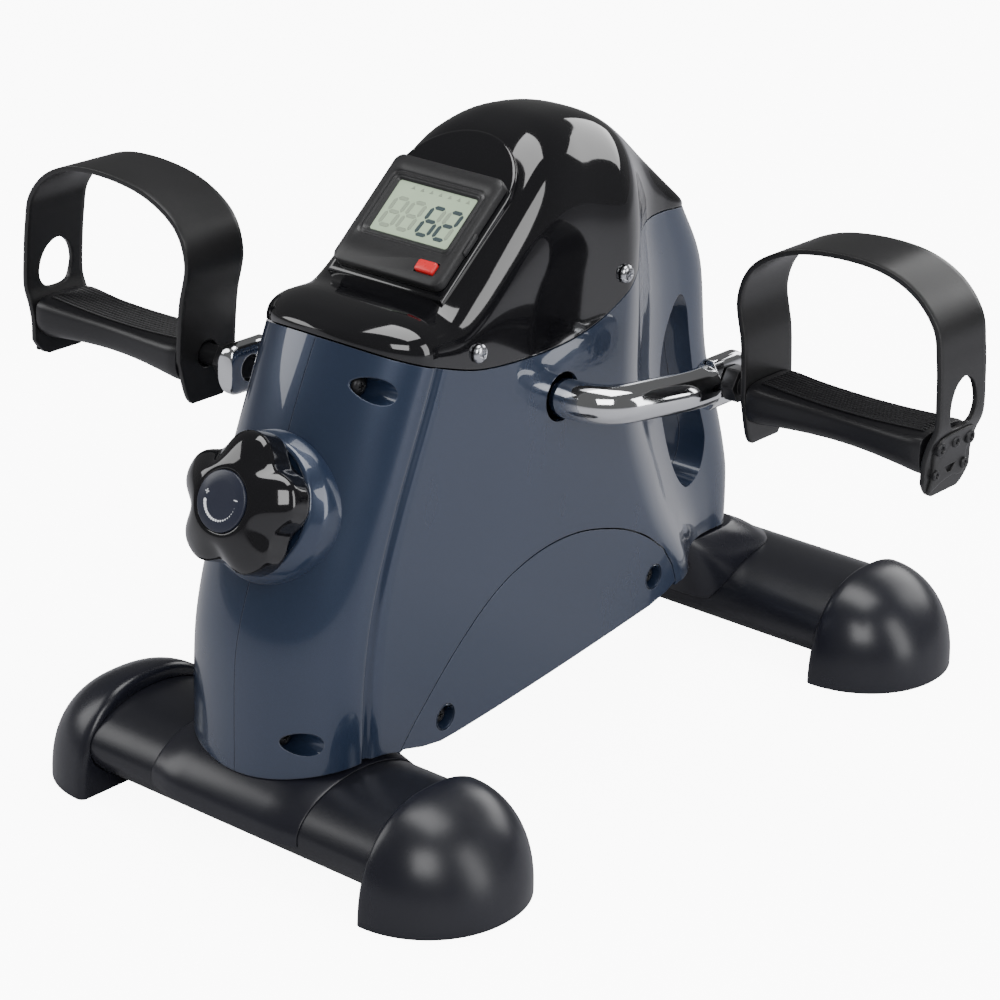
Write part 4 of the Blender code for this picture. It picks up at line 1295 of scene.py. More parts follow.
@dataclass
class Housing:
    """The two side shells with their arched covers."""

    finishes: Finishes
    outline: Outline
    wall: float = 2.6
    split: float = 0.15
    crank: tuple[float, float] = (-37.0, 182.0)
    crank_opening: float = 11.6
    knob_bore: float = 6.5
    well_bore: float = 5.4
    well_outside: float = 7.6
    through: float = 70.0
    seat: tuple = (
        (2.4, -8.5), (8.2, -8.5), (8.2, -1.1), (5.9, -1.1), (5.9, -0.3), (5.6, 0.0), (5.6, -6.0), (2.4, -6.0),
    )
    column_screws: tuple = ((-148.0, 210.0, 22.0), (-189.5, 59.5, 19.0))
    cover_screws: tuple = ((-112.0, 50.0), (39.0, 71.0))

    def build(self) -> None:
        """Makes both sides."""
        slot = Curves.loop(self.outline.slot, 10)
        for side in Side:
            self._shell(side, slot)
            self._cover(side)

    def _solid(
        self, side: int, inset: float, cut_x: float, drop: float, rise: float, count: int, fine: int
    ) -> Object:
        """One side of the form as a closed solid.

        Args:
            side: the sign of X.
            inset: how far inside the surface it lies.
            cut_x: where its flat side lies.
            drop: how far it starts below the lower edge.
            rise: how far it ends above the seam.
            count: its steps upwards.
            fine: how finely each row is drawn.

        Returns:
            The solid, in triangles.
        """
        grid = self.outline.rows(inset, drop, rise, count, fine)
        rows, columns = len(grid), len(grid[0])
        points = [(side * max(x, cut_x), y, z) for row in grid for x, y, z in row]
        faces: Faces = []
        for j in range(rows - 1):
            for i in range(columns - 1):
                a = j * columns + i
                faces.append((a, a + 1, a + 1 + columns, a + columns))
        rim = list(range(columns)) + [j * columns + columns - 1 for j in range(1, rows)]
        rim += [(rows - 1) * columns + i for i in range(columns - 2, -1, -1)]
        rim += [j * columns for j in range(rows - 2, 0, -1)]
        first = len(points)
        points += [(side * cut_x, points[k][1], points[k][2]) for k in rim]
        for k in range(len(rim)):
            after = (k + 1) % len(rim)
            faces.append((rim[k], rim[after], first + after, first + k))
        faces.append(tuple(range(first, first + len(rim))))
        return MeshKit.triangles(MeshKit.mesh("form", points, faces))

    def _shell(self, side: Side, slot: Pairs) -> None:
        """A side shell with the carry handle's slot, the openings and the screw wells.

        Args:
            side: which side.
            slot: the slot's outline.
        """
        sign = side.value
        across = Vector((1, 0, 0))
        shell = self._solid(sign, 0.0, self.split, 0.0, 0.0, 44, 4)
        cavity = self._solid(sign, self.wall, -6.0, 12.0, 13.0, 8, 1)
        spots = [(Vector((0, y, z)), seat) for y, z, seat in self.column_screws]
        wells = [MeshKit.rod(spot, across, self.well_outside, -60, 60, 24) for spot, _ in spots]
        tunnel = MeshKit.prism("tunnel", Curves.grown(slot, self.wall), -self.through, self.through)
        MeshKit.combine(cavity, [MeshKit.triangles(tunnel), *wells])
        knob_foot, knob_out = Knob.foot, Knob.out()
        crank = Vector((0, *self.crank))
        cutters = [
            MeshKit.prism("slot", slot, -self.through, self.through),
            MeshKit.rod(crank, Vector((sign, 0, 0)), self.crank_opening, 30, 60),
            MeshKit.rod(knob_foot, knob_out, self.knob_bore, -20, 20),
            MeshKit.prism("opening", self._cover_outline(-6.0, 6), *sorted((sign * 35, sign * 60))),
        ]
        if side is Side.RIGHT:
            cutters += [MeshKit.rod(spot, across, self.well_bore, seat, self.through) for spot, seat in spots]
        MeshKit.combine(shell, [MeshKit.triangles(c) for c in cutters] + [cavity])
        shell.name = f"side_shell_{side.tag}"
        MeshKit.finish(shell, "stand", self.finishes.navy, [f"housing_{side.tag}"], "navy_paint")

    def _cover_outline(self, lift: float, steps: int) -> Pairs:
        """The side cover's outline, its lower edge raised by lift.

        Args:
            lift: how far the lower edge is raised.
            steps: points between two knots of the arch.

        Returns:
            The outline's (y, z) points.
        """
        made = Curves.path(self.outline.arch, steps)
        made += [(54.0, 73.0), (58.0 - 0.4 * max(lift, 0.0), 62.5 + max(lift, 0.0))]
        for k in range(16):
            y = 50.0 - 190.0 * k / 15
            made.append((y, self.outline.base_height(y) + lift))
        return made

    def _cover(self, side: Side) -> None:
        """The arched lower cover with its sunk screw seats.

        Args:
            side: which side.
        """
        sign, wide = side.value, self.outline.half_width
        inside = Curves.grown(self._cover_outline(0.5, 6), -0.75)
        cover = MeshKit.prism("cover", inside, *sorted((sign * (wide - self.wall), sign * wide)))
        for y, z in self.cover_screws:
            place, out = Vector((sign * wide, y, z)), Vector((sign, 0, 0))
            MeshKit.combine(cover, [MeshKit.rod(place, out, 6.4, -9, 9)])
            MeshKit.combine(cover, [MeshKit.turned("seat", self.seat, place, out, 40, loop=True)], "UNION")
        cover.name = f"arch_cover_{side.tag}"
        MeshKit.finish(cover, "stand", self.finishes.navy, [f"side_cover_{side.tag}"], "navy_paint")


@dataclass
class Hood:
    """The glossy dome over the housing, and the raised bezel round the display module."""

    finishes: Finishes
    outline: Outline
    seam_gap: float = 0.8
    wall: float = 2.6
    across: int = 56

    def build(self) -> None:
        """Makes the dome and the bezel."""
        dome = self._solid(0.0, 0.0, self.across, 4)
        cavity = self._solid(self.wall, 9.0, 20, 1)
        opening = Console.block(0, 0, -40, 20, *Console.opening)
        MeshKit.combine(dome, [cavity, opening])
        dome.name = "dome"
        MeshKit.finish(dome, "stand", self.finishes.gloss, ["hood"], "gloss_black", math.radians(50))
        self._bezel()

    def _solid(self, inset: float, drop: float, across: int, fine: int) -> Object:
        """The dome's form as a closed solid.

        Args:
            inset: how far inside the surface it lies.
            drop: how far below the seam its sole lies.
            across: its steps from side to side.
            fine: how finely it is drawn along.

        Returns:
            The solid, in triangles.
        """
        seam = [(x, y) for x, y, _ in self.outline.rows(0.0, 0.0, 0.0, 1, fine)[-1]]
        stations = seam[: 7 * fine + 1] + seam[7 * fine + 9 :]
        middle = (seam[0][1] + seam[-1][1]) / 2
        shrink = 1.0 - inset / (seam[-1][1] - middle)
        rows = []
        for x, y in stations:
            low = Curves.value(self.outline.seam, y) + self.seam_gap
            high = max(Curves.value(self.outline.hood_top, y) - inset, low + 0.05)
            power = 2 / Curves.value(self.outline.hood_power, y)
            row = []
            for k in range(across + 1):
                angle = math.pi * k / across
                c, s = math.cos(angle), math.sin(angle)
                wide = max(0.0, x - inset) * math.copysign(abs(c) ** power, c)
                tall = (high - low) * s**power if 0 < k < across else -drop
                row.append((wide, middle + (y - middle) * shrink, low + tall))
            rows.append(row)
        count = len(rows[0])
        points = [p for row in rows for p in row]
        faces: Faces = []
        for i in range(len(rows) - 1):
            a, b = i * count, (i + 1) * count
            faces += [(a + k, a + k + 1, b + k + 1, b + k) for k in range(count - 1)]
            faces.append((a, b, b + count - 1, a + count - 1))
        faces.append(tuple(range(count)))
        faces.append(tuple(range(len(points) - count, len(points))))
        return MeshKit.triangles(MeshKit.mesh("dome_form", points, faces))

    def _bezel(self) -> None:
        """The raised plate with a round top that follows the console's slope."""
        half, foot, shoulder, rise = 33.0, -33.0, 22.0, 31.0
        outline = [(-half, foot), (half, foot), (half, shoulder)]
        for k in range(1, 48):
            angle = math.pi * k / 48
            outline.append((half * math.cos(angle), shoulder + rise * math.sin(angle)))
        outline.append((-half, shoulder))
        rings = []
        edge = ((-24.0, 0.0), (-1.6, 0.0), (-0.9, 0.12), (-0.35, 0.5), (-0.05, 1.1), (0.0, 1.8))
        for out, shrink in edge:
            ring = Curves.grown(outline, -shrink) if shrink else outline
            rings.append([Console.at(x, up, out) for x, up in ring])
        bezel = MeshKit.loft("display_surround", rings)
        opening = Console.block(0, 0, -40, 20, *Console.opening)
        MeshKit.combine(bezel, [opening, self._inner()])
        MeshKit.finish(bezel, "stand", self.finishes.gloss, ["console_bezel"], "gloss_black")

    def _inner(self) -> Object:
        """The dome's form just inside its surface, which trims the bezel's foot."""
        return self._solid(0.8, 0.0, 28, 2)


@dataclass
class Console:
    """The display module: case, display with digits and button."""

    finishes: Finishes
    repeats: Repeats
    half_x: float = 31.0
    half_up: float = 29.5
    window_up: float = 3.7
    print_depth: float = 0.04
    digit_step: float = 9.9
    digit_lean: float = 0.10
    pointer_step: float = 5.2
    button: tuple[float, float] = (20.0, -21.5)
    centre: ClassVar[Vector] = Vector((0.0, -82.5, 261.5))
    slope: ClassVar[float] = math.radians(41.0)
    opening: ClassVar[tuple[float, float]] = (57.0, 53.0)
    digits: ClassVar[dict[str, str]] = {"8": "abcdefg", "6": "acdefg", "2": "abdeg"}

    @classmethod
    def up(cls) -> Vector:
        """The direction up the console's face."""
        return Vector((0.0, math.cos(cls.slope), math.sin(cls.slope)))

    @classmethod
    def out(cls) -> Vector:
        """The direction out of the console's face."""
        return Vector((0.0, -math.sin(cls.slope), math.cos(cls.slope)))

    @classmethod
    def at(cls, x: float, up: float, out: float) -> Vector:
        """A point on or above the console's face."""
        return cls.centre + Vector((x, 0, 0)) + cls.up() * up + cls.out() * out

    @classmethod
    def block(cls, x: float, up: float, low: float, high: float, size_x: float, size_up: float) -> Object:
        """A box square to the console's face, from low to high above it.

        Args:
            x: its middle across the face.
            up: its middle up the face.
            low: where it starts.
            high: where it ends.
            size_x: its width.
            size_up: its height.

        Returns:
            The box.
        """
        corners = [(sx * size_x / 2, sy * size_up / 2) for sx, sy in ((-1, -1), (1, -1), (1, 1), (-1, 1))]
        rings = [[cls.at(x + dx, up + du, out) for dx, du in corners] for out in (low, high)]
        return MeshKit.loft("block", rings)

    def build(self) -> None:
        """Makes the module's pieces."""
        self._case()
        self._display()
        self._button()

    def _frame(self, half_x: float, half_up: float, radius: float, shift: float, out: float) -> Ring:
        """A round-cornered ring parallel to the face."""
        return [self.at(x, shift + up, out) for x, up in Curves.rounded_box(half_x, half_up, radius, 10)]

    def _case(self) -> None:
        """The case: a rounded frame with a stepped surround and a sunk window."""
        hx, hu, up = self.half_x, self.half_up, self.window_up
        rings = [
            self._frame(hx, hu, 4.5, 0, 0.3),
            self._frame(hx, hu, 4.5, 0, 3.9),
            self._frame(hx - 0.35, hu - 0.35, 4.2, 0, 4.6),
            self._frame(hx - 1.1, hu - 1.1, 3.8, 0, 5.0),
            self._frame(27.0, 18.0, 4.0, up, 5.0),
            self._frame(26.6, 17.6, 3.8, up, 4.75),
            self._frame(26.2, 17.2, 3.6, up, 4.35),
            self._frame(25.8, 16.8, 3.4, up, 4.35),
            self._frame(25.3, 16.3, 3.2, up, 4.75),
            self._frame(24.8, 15.8, 3.0, up, 4.9),
            self._frame(24.4, 15.4, 2.8, up, 4.6),
            self._frame(23.9, 14.9, 2.4, up, 4.2),
            self._frame(23.4, 14.6, 2.0, up, 4.2),
            self._frame(22.2, 13.6, 1.2, up, 3.1),
            self._frame(22.2, 13.6, 1.2, up, 2.0),
            self._frame(28.0, 20.0, 2.0, up, 2.0),
            self._frame(28.0, 20.0, 2.0, up, 0.3),
        ]
        case = MeshKit.loft("display_case_front", rings, loop=True)
        tub = self.block(0, 0, -11.0, 0.6, 55.0, 51.0)
        hollow = self.block(0, 0, -9.0, 0.9, 51.0, 47.0)
        MeshKit.combine(tub, [hollow])
        MeshKit.combine(case, [tub], "UNION")
        x, up = self.button
        MeshKit.combine(case, [self.block(x, up, -4.0, 9.0, 11.2, 6.4)])
        MeshKit.finish(case, "stand", self.finishes.case, ["console_case"], "black_plastic")
        latch = self._latch()
        MeshKit.finish(latch, "stand", self.finishes.case, (), "black_plastic")

    def _latch(self) -> Object:
        """The small thumb catch on the module's right edge.

        Returns:
            The catch.
        """
        rings = []
        for x, grow in ((30.2, 0.0), (31.6, 0.0), (32.0, -0.5)):
            outline = Curves.rounded_box(5.5 + grow, 1.5 + grow, 0.8, 4)
            rings.append([self.at(x, -4.0 + a, 1.9 + b) for a, b in outline])
        return MeshKit.loft("module_catch", rings)

    def _display(self) -> None:
        """The display's glass, and its lit and unlit segments."""
        rings = [self._frame(22.6, 14.1, 1.0, self.window_up, out) for out in (2.5, 3.0)]
        glass = MeshKit.loft("display_panel", rings)
        MeshKit.finish(glass, "stand", self.finishes.glass, ["display"], "display")
        lit, dim = [], []
        for slot, digit in enumerate("8862"):
            centre = (-15.2 + self.digit_step * slot + (1.2 if slot > 1 else 0.0), self.window_up - 2.6)
            for name in "abcdefg":
                on = slot > 1 and name in self.digits[digit]
                (lit if on else dim).append((centre, name))
        self._segments("digits_lit", lit, 3.06, self.finishes.segment)
        self._segments("digits_dim", dim, 3.03, self.finishes.ghost)
        self._marks()

    def _segments(self, name: str, wanted: Sequence[tuple], out: float, material: Material) -> None:
        """Draws segments of the display's digits.

        Args:
            name: the piece's name.
            wanted: (digit centre, segment letter) pairs.
            out: how far above the face they lie.
            material: their finish.
        """
        wide, tall, thick = 3.4, 7.4, 1.0
        upright = {"f": (-1, 0.5), "e": (-1, -0.5), "b": (1, 0.5), "c": (1, -0.5)}
        level = {"a": 1.0, "g": 0.0, "d": -1.0}
        points: list[Point] = []
        faces: Faces = []
        for (cx, cu), letter in wanted:
            if letter in level:
                half, mid = wide - 0.5, (0.0, level[letter] * tall)
                inner = half - thick
                shape = [(-half, 0), (-inner, thick), (inner, thick)]
                shape += [(half, 0), (inner, -thick), (-inner, -thick)]
            else:
                sign, rise = upright[letter]
                half, mid = tall / 2 - 0.35, (sign * wide, rise * tall)
                inner = half - thick
                shape = [(0, -half), (thick, -inner), (thick, inner)]
                shape += [(0, half), (-thick, inner), (-thick, -inner)]
            first = len(points)
            for x, u in shape:
                up = cu + mid[1] + u
                points.append(self.at(cx + mid[0] + x + self.digit_lean * (up - cu), up, out))
            count = len(shape)
            points += [Vector(points[first + k]) - self.out() * self.print_depth for k in range(count)]
            faces.append(tuple(first + k for k in range(count)))
            faces.append(tuple(first + count + k for k in reversed(range(count))))
            for k in range(count):
                j = (k + 1) % count
                faces.append((first + k, first + count + k, first + count + j, first + j))
        piece = MeshKit.mesh(name, points, faces)
        MeshKit.finish(piece, "stand", material, (), "display")

    def _marks(self) -> None:
        """A row of small pointers along the display's upper edge."""
        shape = ((-1.1, -0.9), (1.1, -0.9), (0, 1.0))
        marker = MeshKit.loft("marker", [[(x, y, z) for x, y in shape] for z in (0.0, 0.05)])
        turn = Matrix((Vector((1, 0, 0)), self.up(), self.out())).transposed().to_4x4()
        marker.data.transform(turn)
        start, step = self.at(-13.0, self.window_up + 11.4, 3.0), (self.pointer_step, 0, 0)
        row = self.repeats.in_row("display_pointers", marker, 7, start, step, self.finishes.ghost)
        MeshKit.finish(row, "stand", self.finishes.ghost, (), "display")

    def _button(self) -> None:
        """The red button, which stands proud of the case."""
        x, up = self.button
        rings = []
        for out, shrink in ((-1.6, 0.0), (5.6, 0.0), (6.2, 0.15), (6.5, 0.45), (6.6, 0.9)):
            ring = Curves.rounded_box(5.2 - shrink, 2.8 - shrink, 1.1 - shrink * 0.5, 6)
            rings.append([self.at(x + a, up + b, out) for a, b in ring])
        button = MeshKit.loft("reset_button", rings)
        MeshKit.finish(button, "button", self.finishes.red, ["button"], "red_plastic", math.radians(50))


@dataclass
class Knob:
    """The brake knob: ring, scalloped grip and disc with its scale."""

    finishes: Finishes
    repeats: Repeats
    lobes: int = 5
    lobe_turn: float = math.radians(18.0)
    lobe_power: float = 1.6
    lobe_depth: Knots = ((9.0, 0.15), (14.0, 0.18), (21.0, 0.20), (26.0, 0.19), (29.0, 0.11), (30.9, 0.0))
    scale_radius: float = 8.4
    face: float = 31.75
    foot: ClassVar[Vector] = Vector((0.0, -178.0, 157.0))
    lean: ClassVar[float] = math.radians(20.8)

    @classmethod
    def out(cls) -> Vector:
        """The direction that the knob points."""
        return Vector((0.0, -math.cos(cls.lean), math.sin(cls.lean)))

    def build(self) -> None:
        """Makes the ring, the grip and the disc."""
        self._boss()
        self._grip()
        self._disc()

    def _boss(self) -> None:
        """The dished ring that the knob sits in."""
        profile = [
            (9.0, -14.0), (33.6, -14.0), (33.5, -4.0), (33.3, 0.0), (33.0, 1.6), (32.4, 3.0), (31.0, 5.8),
            (30.2, 7.4), (29.7, 8.2), (29.0, 8.7), (28.2, 8.8), (27.6, 8.4), (27.2, 7.4), (20.0, 6.6),
            (9.0, 6.2),
        ]
        boss = MeshKit.turned("knob_ring", profile, self.foot, self.out(), 96, loop=True)
        MeshKit.finish(boss, "stand", self.finishes.navy, ["knob_boss"], "navy_paint")

    def _lobed(self, radius: float, along: float, angle: float) -> float:
        """The grip's radius at an angle: five broad lobes with round scallops between them.

        Args:
            radius: the ring's radius.
            along: its place on the axis.
            angle: the angle.

        Returns:
            The radius there.
        """
        depth = Curves.value(self.lobe_depth, along)
        wave = 0.5 - 0.5 * math.cos(self.lobes * (angle - self.lobe_turn))
        return radius * (1.0 - depth * wave**self.lobe_power)

    def _grip(self) -> None:
        """The glossy scalloped grip."""
        profile = [
            (14.0, 9.6), (28.6, 9.6), (30.2, 9.8), (31.1, 10.3), (31.5, 11.2), (31.5, 13.0), (31.5, 16.0),
            (31.5, 19.4), (31.3, 20.9), (30.7, 22.2), (29.5, 23.5), (27.6, 25.0), (25.2, 26.6), (22.8, 27.9),
            (20.4, 29.1), (18.4, 29.9), (16.6, 30.5), (15.4, 30.8), (14.3, 30.85), (13.7, 30.6), (13.6, 29.9),
        ]
        grip = MeshKit.turned("brake_knob", profile, self.foot, self.out(), 180, radius_at=self._lobed)
        MeshKit.finish(grip, "knob", self.finishes.gloss, ["tension_knob"], "gloss_black", math.radians(60))

    def _disc(self) -> None:
        """The disc in the knob's face, with a plus, a minus and an arc of dots that shrink between them."""
        profile = [(13.3, 29.7), (13.3, 31.0), (13.1, 31.4), (12.6, 31.65), (8.0, 31.78), (2.0, 31.8)]
        disc = MeshKit.turned("knob_scale_disc", profile, self.foot, self.out(), 72)
        MeshKit.finish(disc, "knob", self.finishes.disc, ["knob_disc"], "navy_plastic")
        level = Vector((1, 0, 0))
        up = self.out().cross(level)
        face = self.foot + self.out() * self.face
        profile = [(1.0, -0.2), (1.0, 0.02), (0.8, 0.05)]
        dot = MeshKit.turned("dot", profile, Vector(), Vector((0, 0, 1)), 20)
        places = []
        count = 19
        for k in range(count):
            share = k / (count - 1)
            angle = math.radians(192 + 160 * share)
            spot = face + (level * math.cos(angle) + up * math.sin(angle)) * self.scale_radius
            places.append((spot, self.out(), 0.92 - 0.62 * share))
        dots = self.repeats.on_points("scale_dots", dot, places, self.finishes.ink)
        MeshKit.finish(dots, "knob", self.finishes.ink, (), "navy_plastic")
        bars = [self._bar(face, level, up, -8.2, 1.0, False), self._bar(face, level, up, -8.2, 1.0, True)]
        bars.append(self._bar(face, level, up, 8.2, 1.0, False))
        MeshKit.finish(MeshKit.merged("scale_signs", bars), "knob", self.finishes.ink, (), "navy_plastic")

    @staticmethod
    def _bar(face: Vector, level: Vector, up: Vector, x: float, rise: float, upright: bool) -> Object:
        """One stroke of a sign on the disc.

        Args:
            face: the disc's middle.
            level: the direction across.
            up: the direction up.
            x: its place across.
            rise: its place up.
            upright: whether it stands.

        Returns:
            The stroke.
        """
        half = (0.26, 1.05) if upright else (1.05, 0.26)
        outline = [(-1, -1), (1, -1), (1, 1), (-1, 1)]
        out = level.cross(up)
        shift = rise + 1.2
        rings = []
        for lift in (-0.2, 0.05):
            corners = [(x + a * half[0], shift + b * half[1]) for a, b in outline]
            rings.append([face + level * a + up * b + out * lift for a, b in corners])
        return MeshKit.loft("bar", rings)


@dataclass
class CrankSet:
    """The bent crank with its flattened ends, and the two pedal spindles."""

    finishes: Finishes
    axis_y: float = -37.0
    axis_z: float = 182.0
    radius: float = 9.0
    throw: float = 70.0
    paddle_x: float = 83.0
    paddle_thick: float = 9.0
    paddle_height: float = 24.0
    paddle_hole: float = 6.4
    collar_across: float = 15.0

    def build(self) -> None:
        """Makes the crank and both spindles."""
        self._crank()
        for side in Side:
            self._spindle(side)

    def _half(self) -> list[tuple[float, float, float, float]]:
        """The right half of the centre line, as (x, y, flatness, tip).

        Returns:
            The points from the middle to the tip.
        """
        corner, bend = Vector((68.0, self.axis_y)), Vector((self.paddle_x, self.axis_y + 48.0))
        end = Vector((self.paddle_x, self.axis_y + self.throw + 12.5))
        path = [(x, self.axis_y, 0.0, 1.0) for x in (6.0, 24.0, 40.0)]
        path += [(x, y, 0.0, 1.0) for x, y in self._bend(Vector((0, self.axis_y)), corner, bend, 17.0, 16)]
        path += [(x, y, 0.0, 1.0) for x, y in self._bend(corner, bend, end, 9.0, 8)]
        first, last = self.axis_y + 58.0, end.y - 24.0
        for k in range(1, 9):
            share = k / 8
            flat = share * share * (3 - 2 * share)
            path.append((self.paddle_x, first + (last - first) * share, flat, 1.0))
        tips = ((14.0, 1.0), (6.0, 1.0), (3.6, 0.97), (2.0, 0.9), (0.9, 0.79), (0.25, 0.68), (0.0, 0.58))
        path += [(self.paddle_x, end.y - back, 1.0, tip) for back, tip in tips]
        return path

    @staticmethod
    def _bend(
        before: Vector, corner: Vector, after: Vector, reach: float, steps: int
    ) -> Pairs:
        """A smooth bend between two straight runs.

        Args:
            before: a point on the first run.
            corner: where the runs meet.
            after: a point on the second.
            reach: how far from the corner it starts.
            steps: steps along it.

        Returns:
            The bend's points.
        """
        first = corner + (before - corner).normalized() * reach
        last = corner + (after - corner).normalized() * reach
        shares = [k / steps for k in range(steps + 1)]
        return [tuple(first * (1 - t) ** 2 + corner * 2 * t * (1 - t) + last * t**2) for t in shares]

    def _crank(self) -> None:
        """The chromed crank."""
        half = self._half()
        path = [(-x, 2 * self.axis_y - y, flat, tip) for x, y, flat, tip in half[::-1]] + half
        rings = []
        for i, (x, y, flat, tip) in enumerate(path):
            before, after = path[max(i - 1, 0)], path[min(i + 1, len(path) - 1)]
            way = Vector((after[0] - before[0], after[1] - before[1], 0.0)).normalized()
            across = Vector((way.y, -way.x, 0.0))
            wide = self.radius + (self.paddle_thick / 2 - self.radius) * flat
            tall = (self.radius + (self.paddle_height / 2 - self.radius) * flat) * tip
            power = 2 / (2.0 + 1.6 * flat)
            ring = []
            for k in range(48):
                angle = 2 * math.pi * (k + 0.5) / 48
                c, s = math.cos(angle), math.sin(angle)
                shift = across * wide * math.copysign(abs(c) ** power, c)
                ring.append(Vector((x, y, self.axis_z + tall * math.copysign(abs(s) ** power, s))) + shift)
            rings.append(ring)
        crank = MeshKit.loft("crank_bar", rings)
        holes = []
        for side in Side:
            centre = self.pedal_axis(side) + Vector((side.value * self.paddle_x, 0, 0))
            holes.append(MeshKit.rod(centre, Vector((1, 0, 0)), self.paddle_hole, -12, 12, 40))
        MeshKit.combine(crank, holes)
        MeshKit.finish(crank, "crank", self.finishes.chrome, ["crank"], "chrome", math.radians(45))

    @classmethod
    def pedal_axis(cls, side: Side) -> Vector:
        """A point on a pedal's axis, at x = 0."""
        return Vector((0.0, cls.axis_y + side.value * cls.throw, cls.axis_z))

    def _spindle(self, side: Side) -> None:
        """A pedal spindle with its hexagon collar.

        Args:
            side: which side.
        """
        axis, out = self.pedal_axis(side), Vector((side.value, 0, 0))
        profile = [(4.9, 79.5), (6.0, 80.4), (6.0, 88.0), (8.5, 88.0), (8.5, 95.0), (5.0, 95.0), (5.0, 198.0)]

        def hexagon(radius: float, along: float, angle: float) -> float:
            """Flattens the collar into six sides.

            Args:
                radius: the ring's radius.
                along: its place on the axis.
                angle: the angle.

            Returns:
                The radius there.
            """
            if radius < 8.0:
                return radius
            sector = angle % (math.pi / 3) - math.pi / 6
            return min(radius, self.collar_across / 2 / math.cos(sector))

        spindle = MeshKit.turned(f"spindle_{side.tag}", profile, axis, out, 72, radius_at=hexagon)
        MeshKit.finish(spindle, "crank", self.finishes.oxide, [f"pedal_spindle_{side.tag}"], "steel")


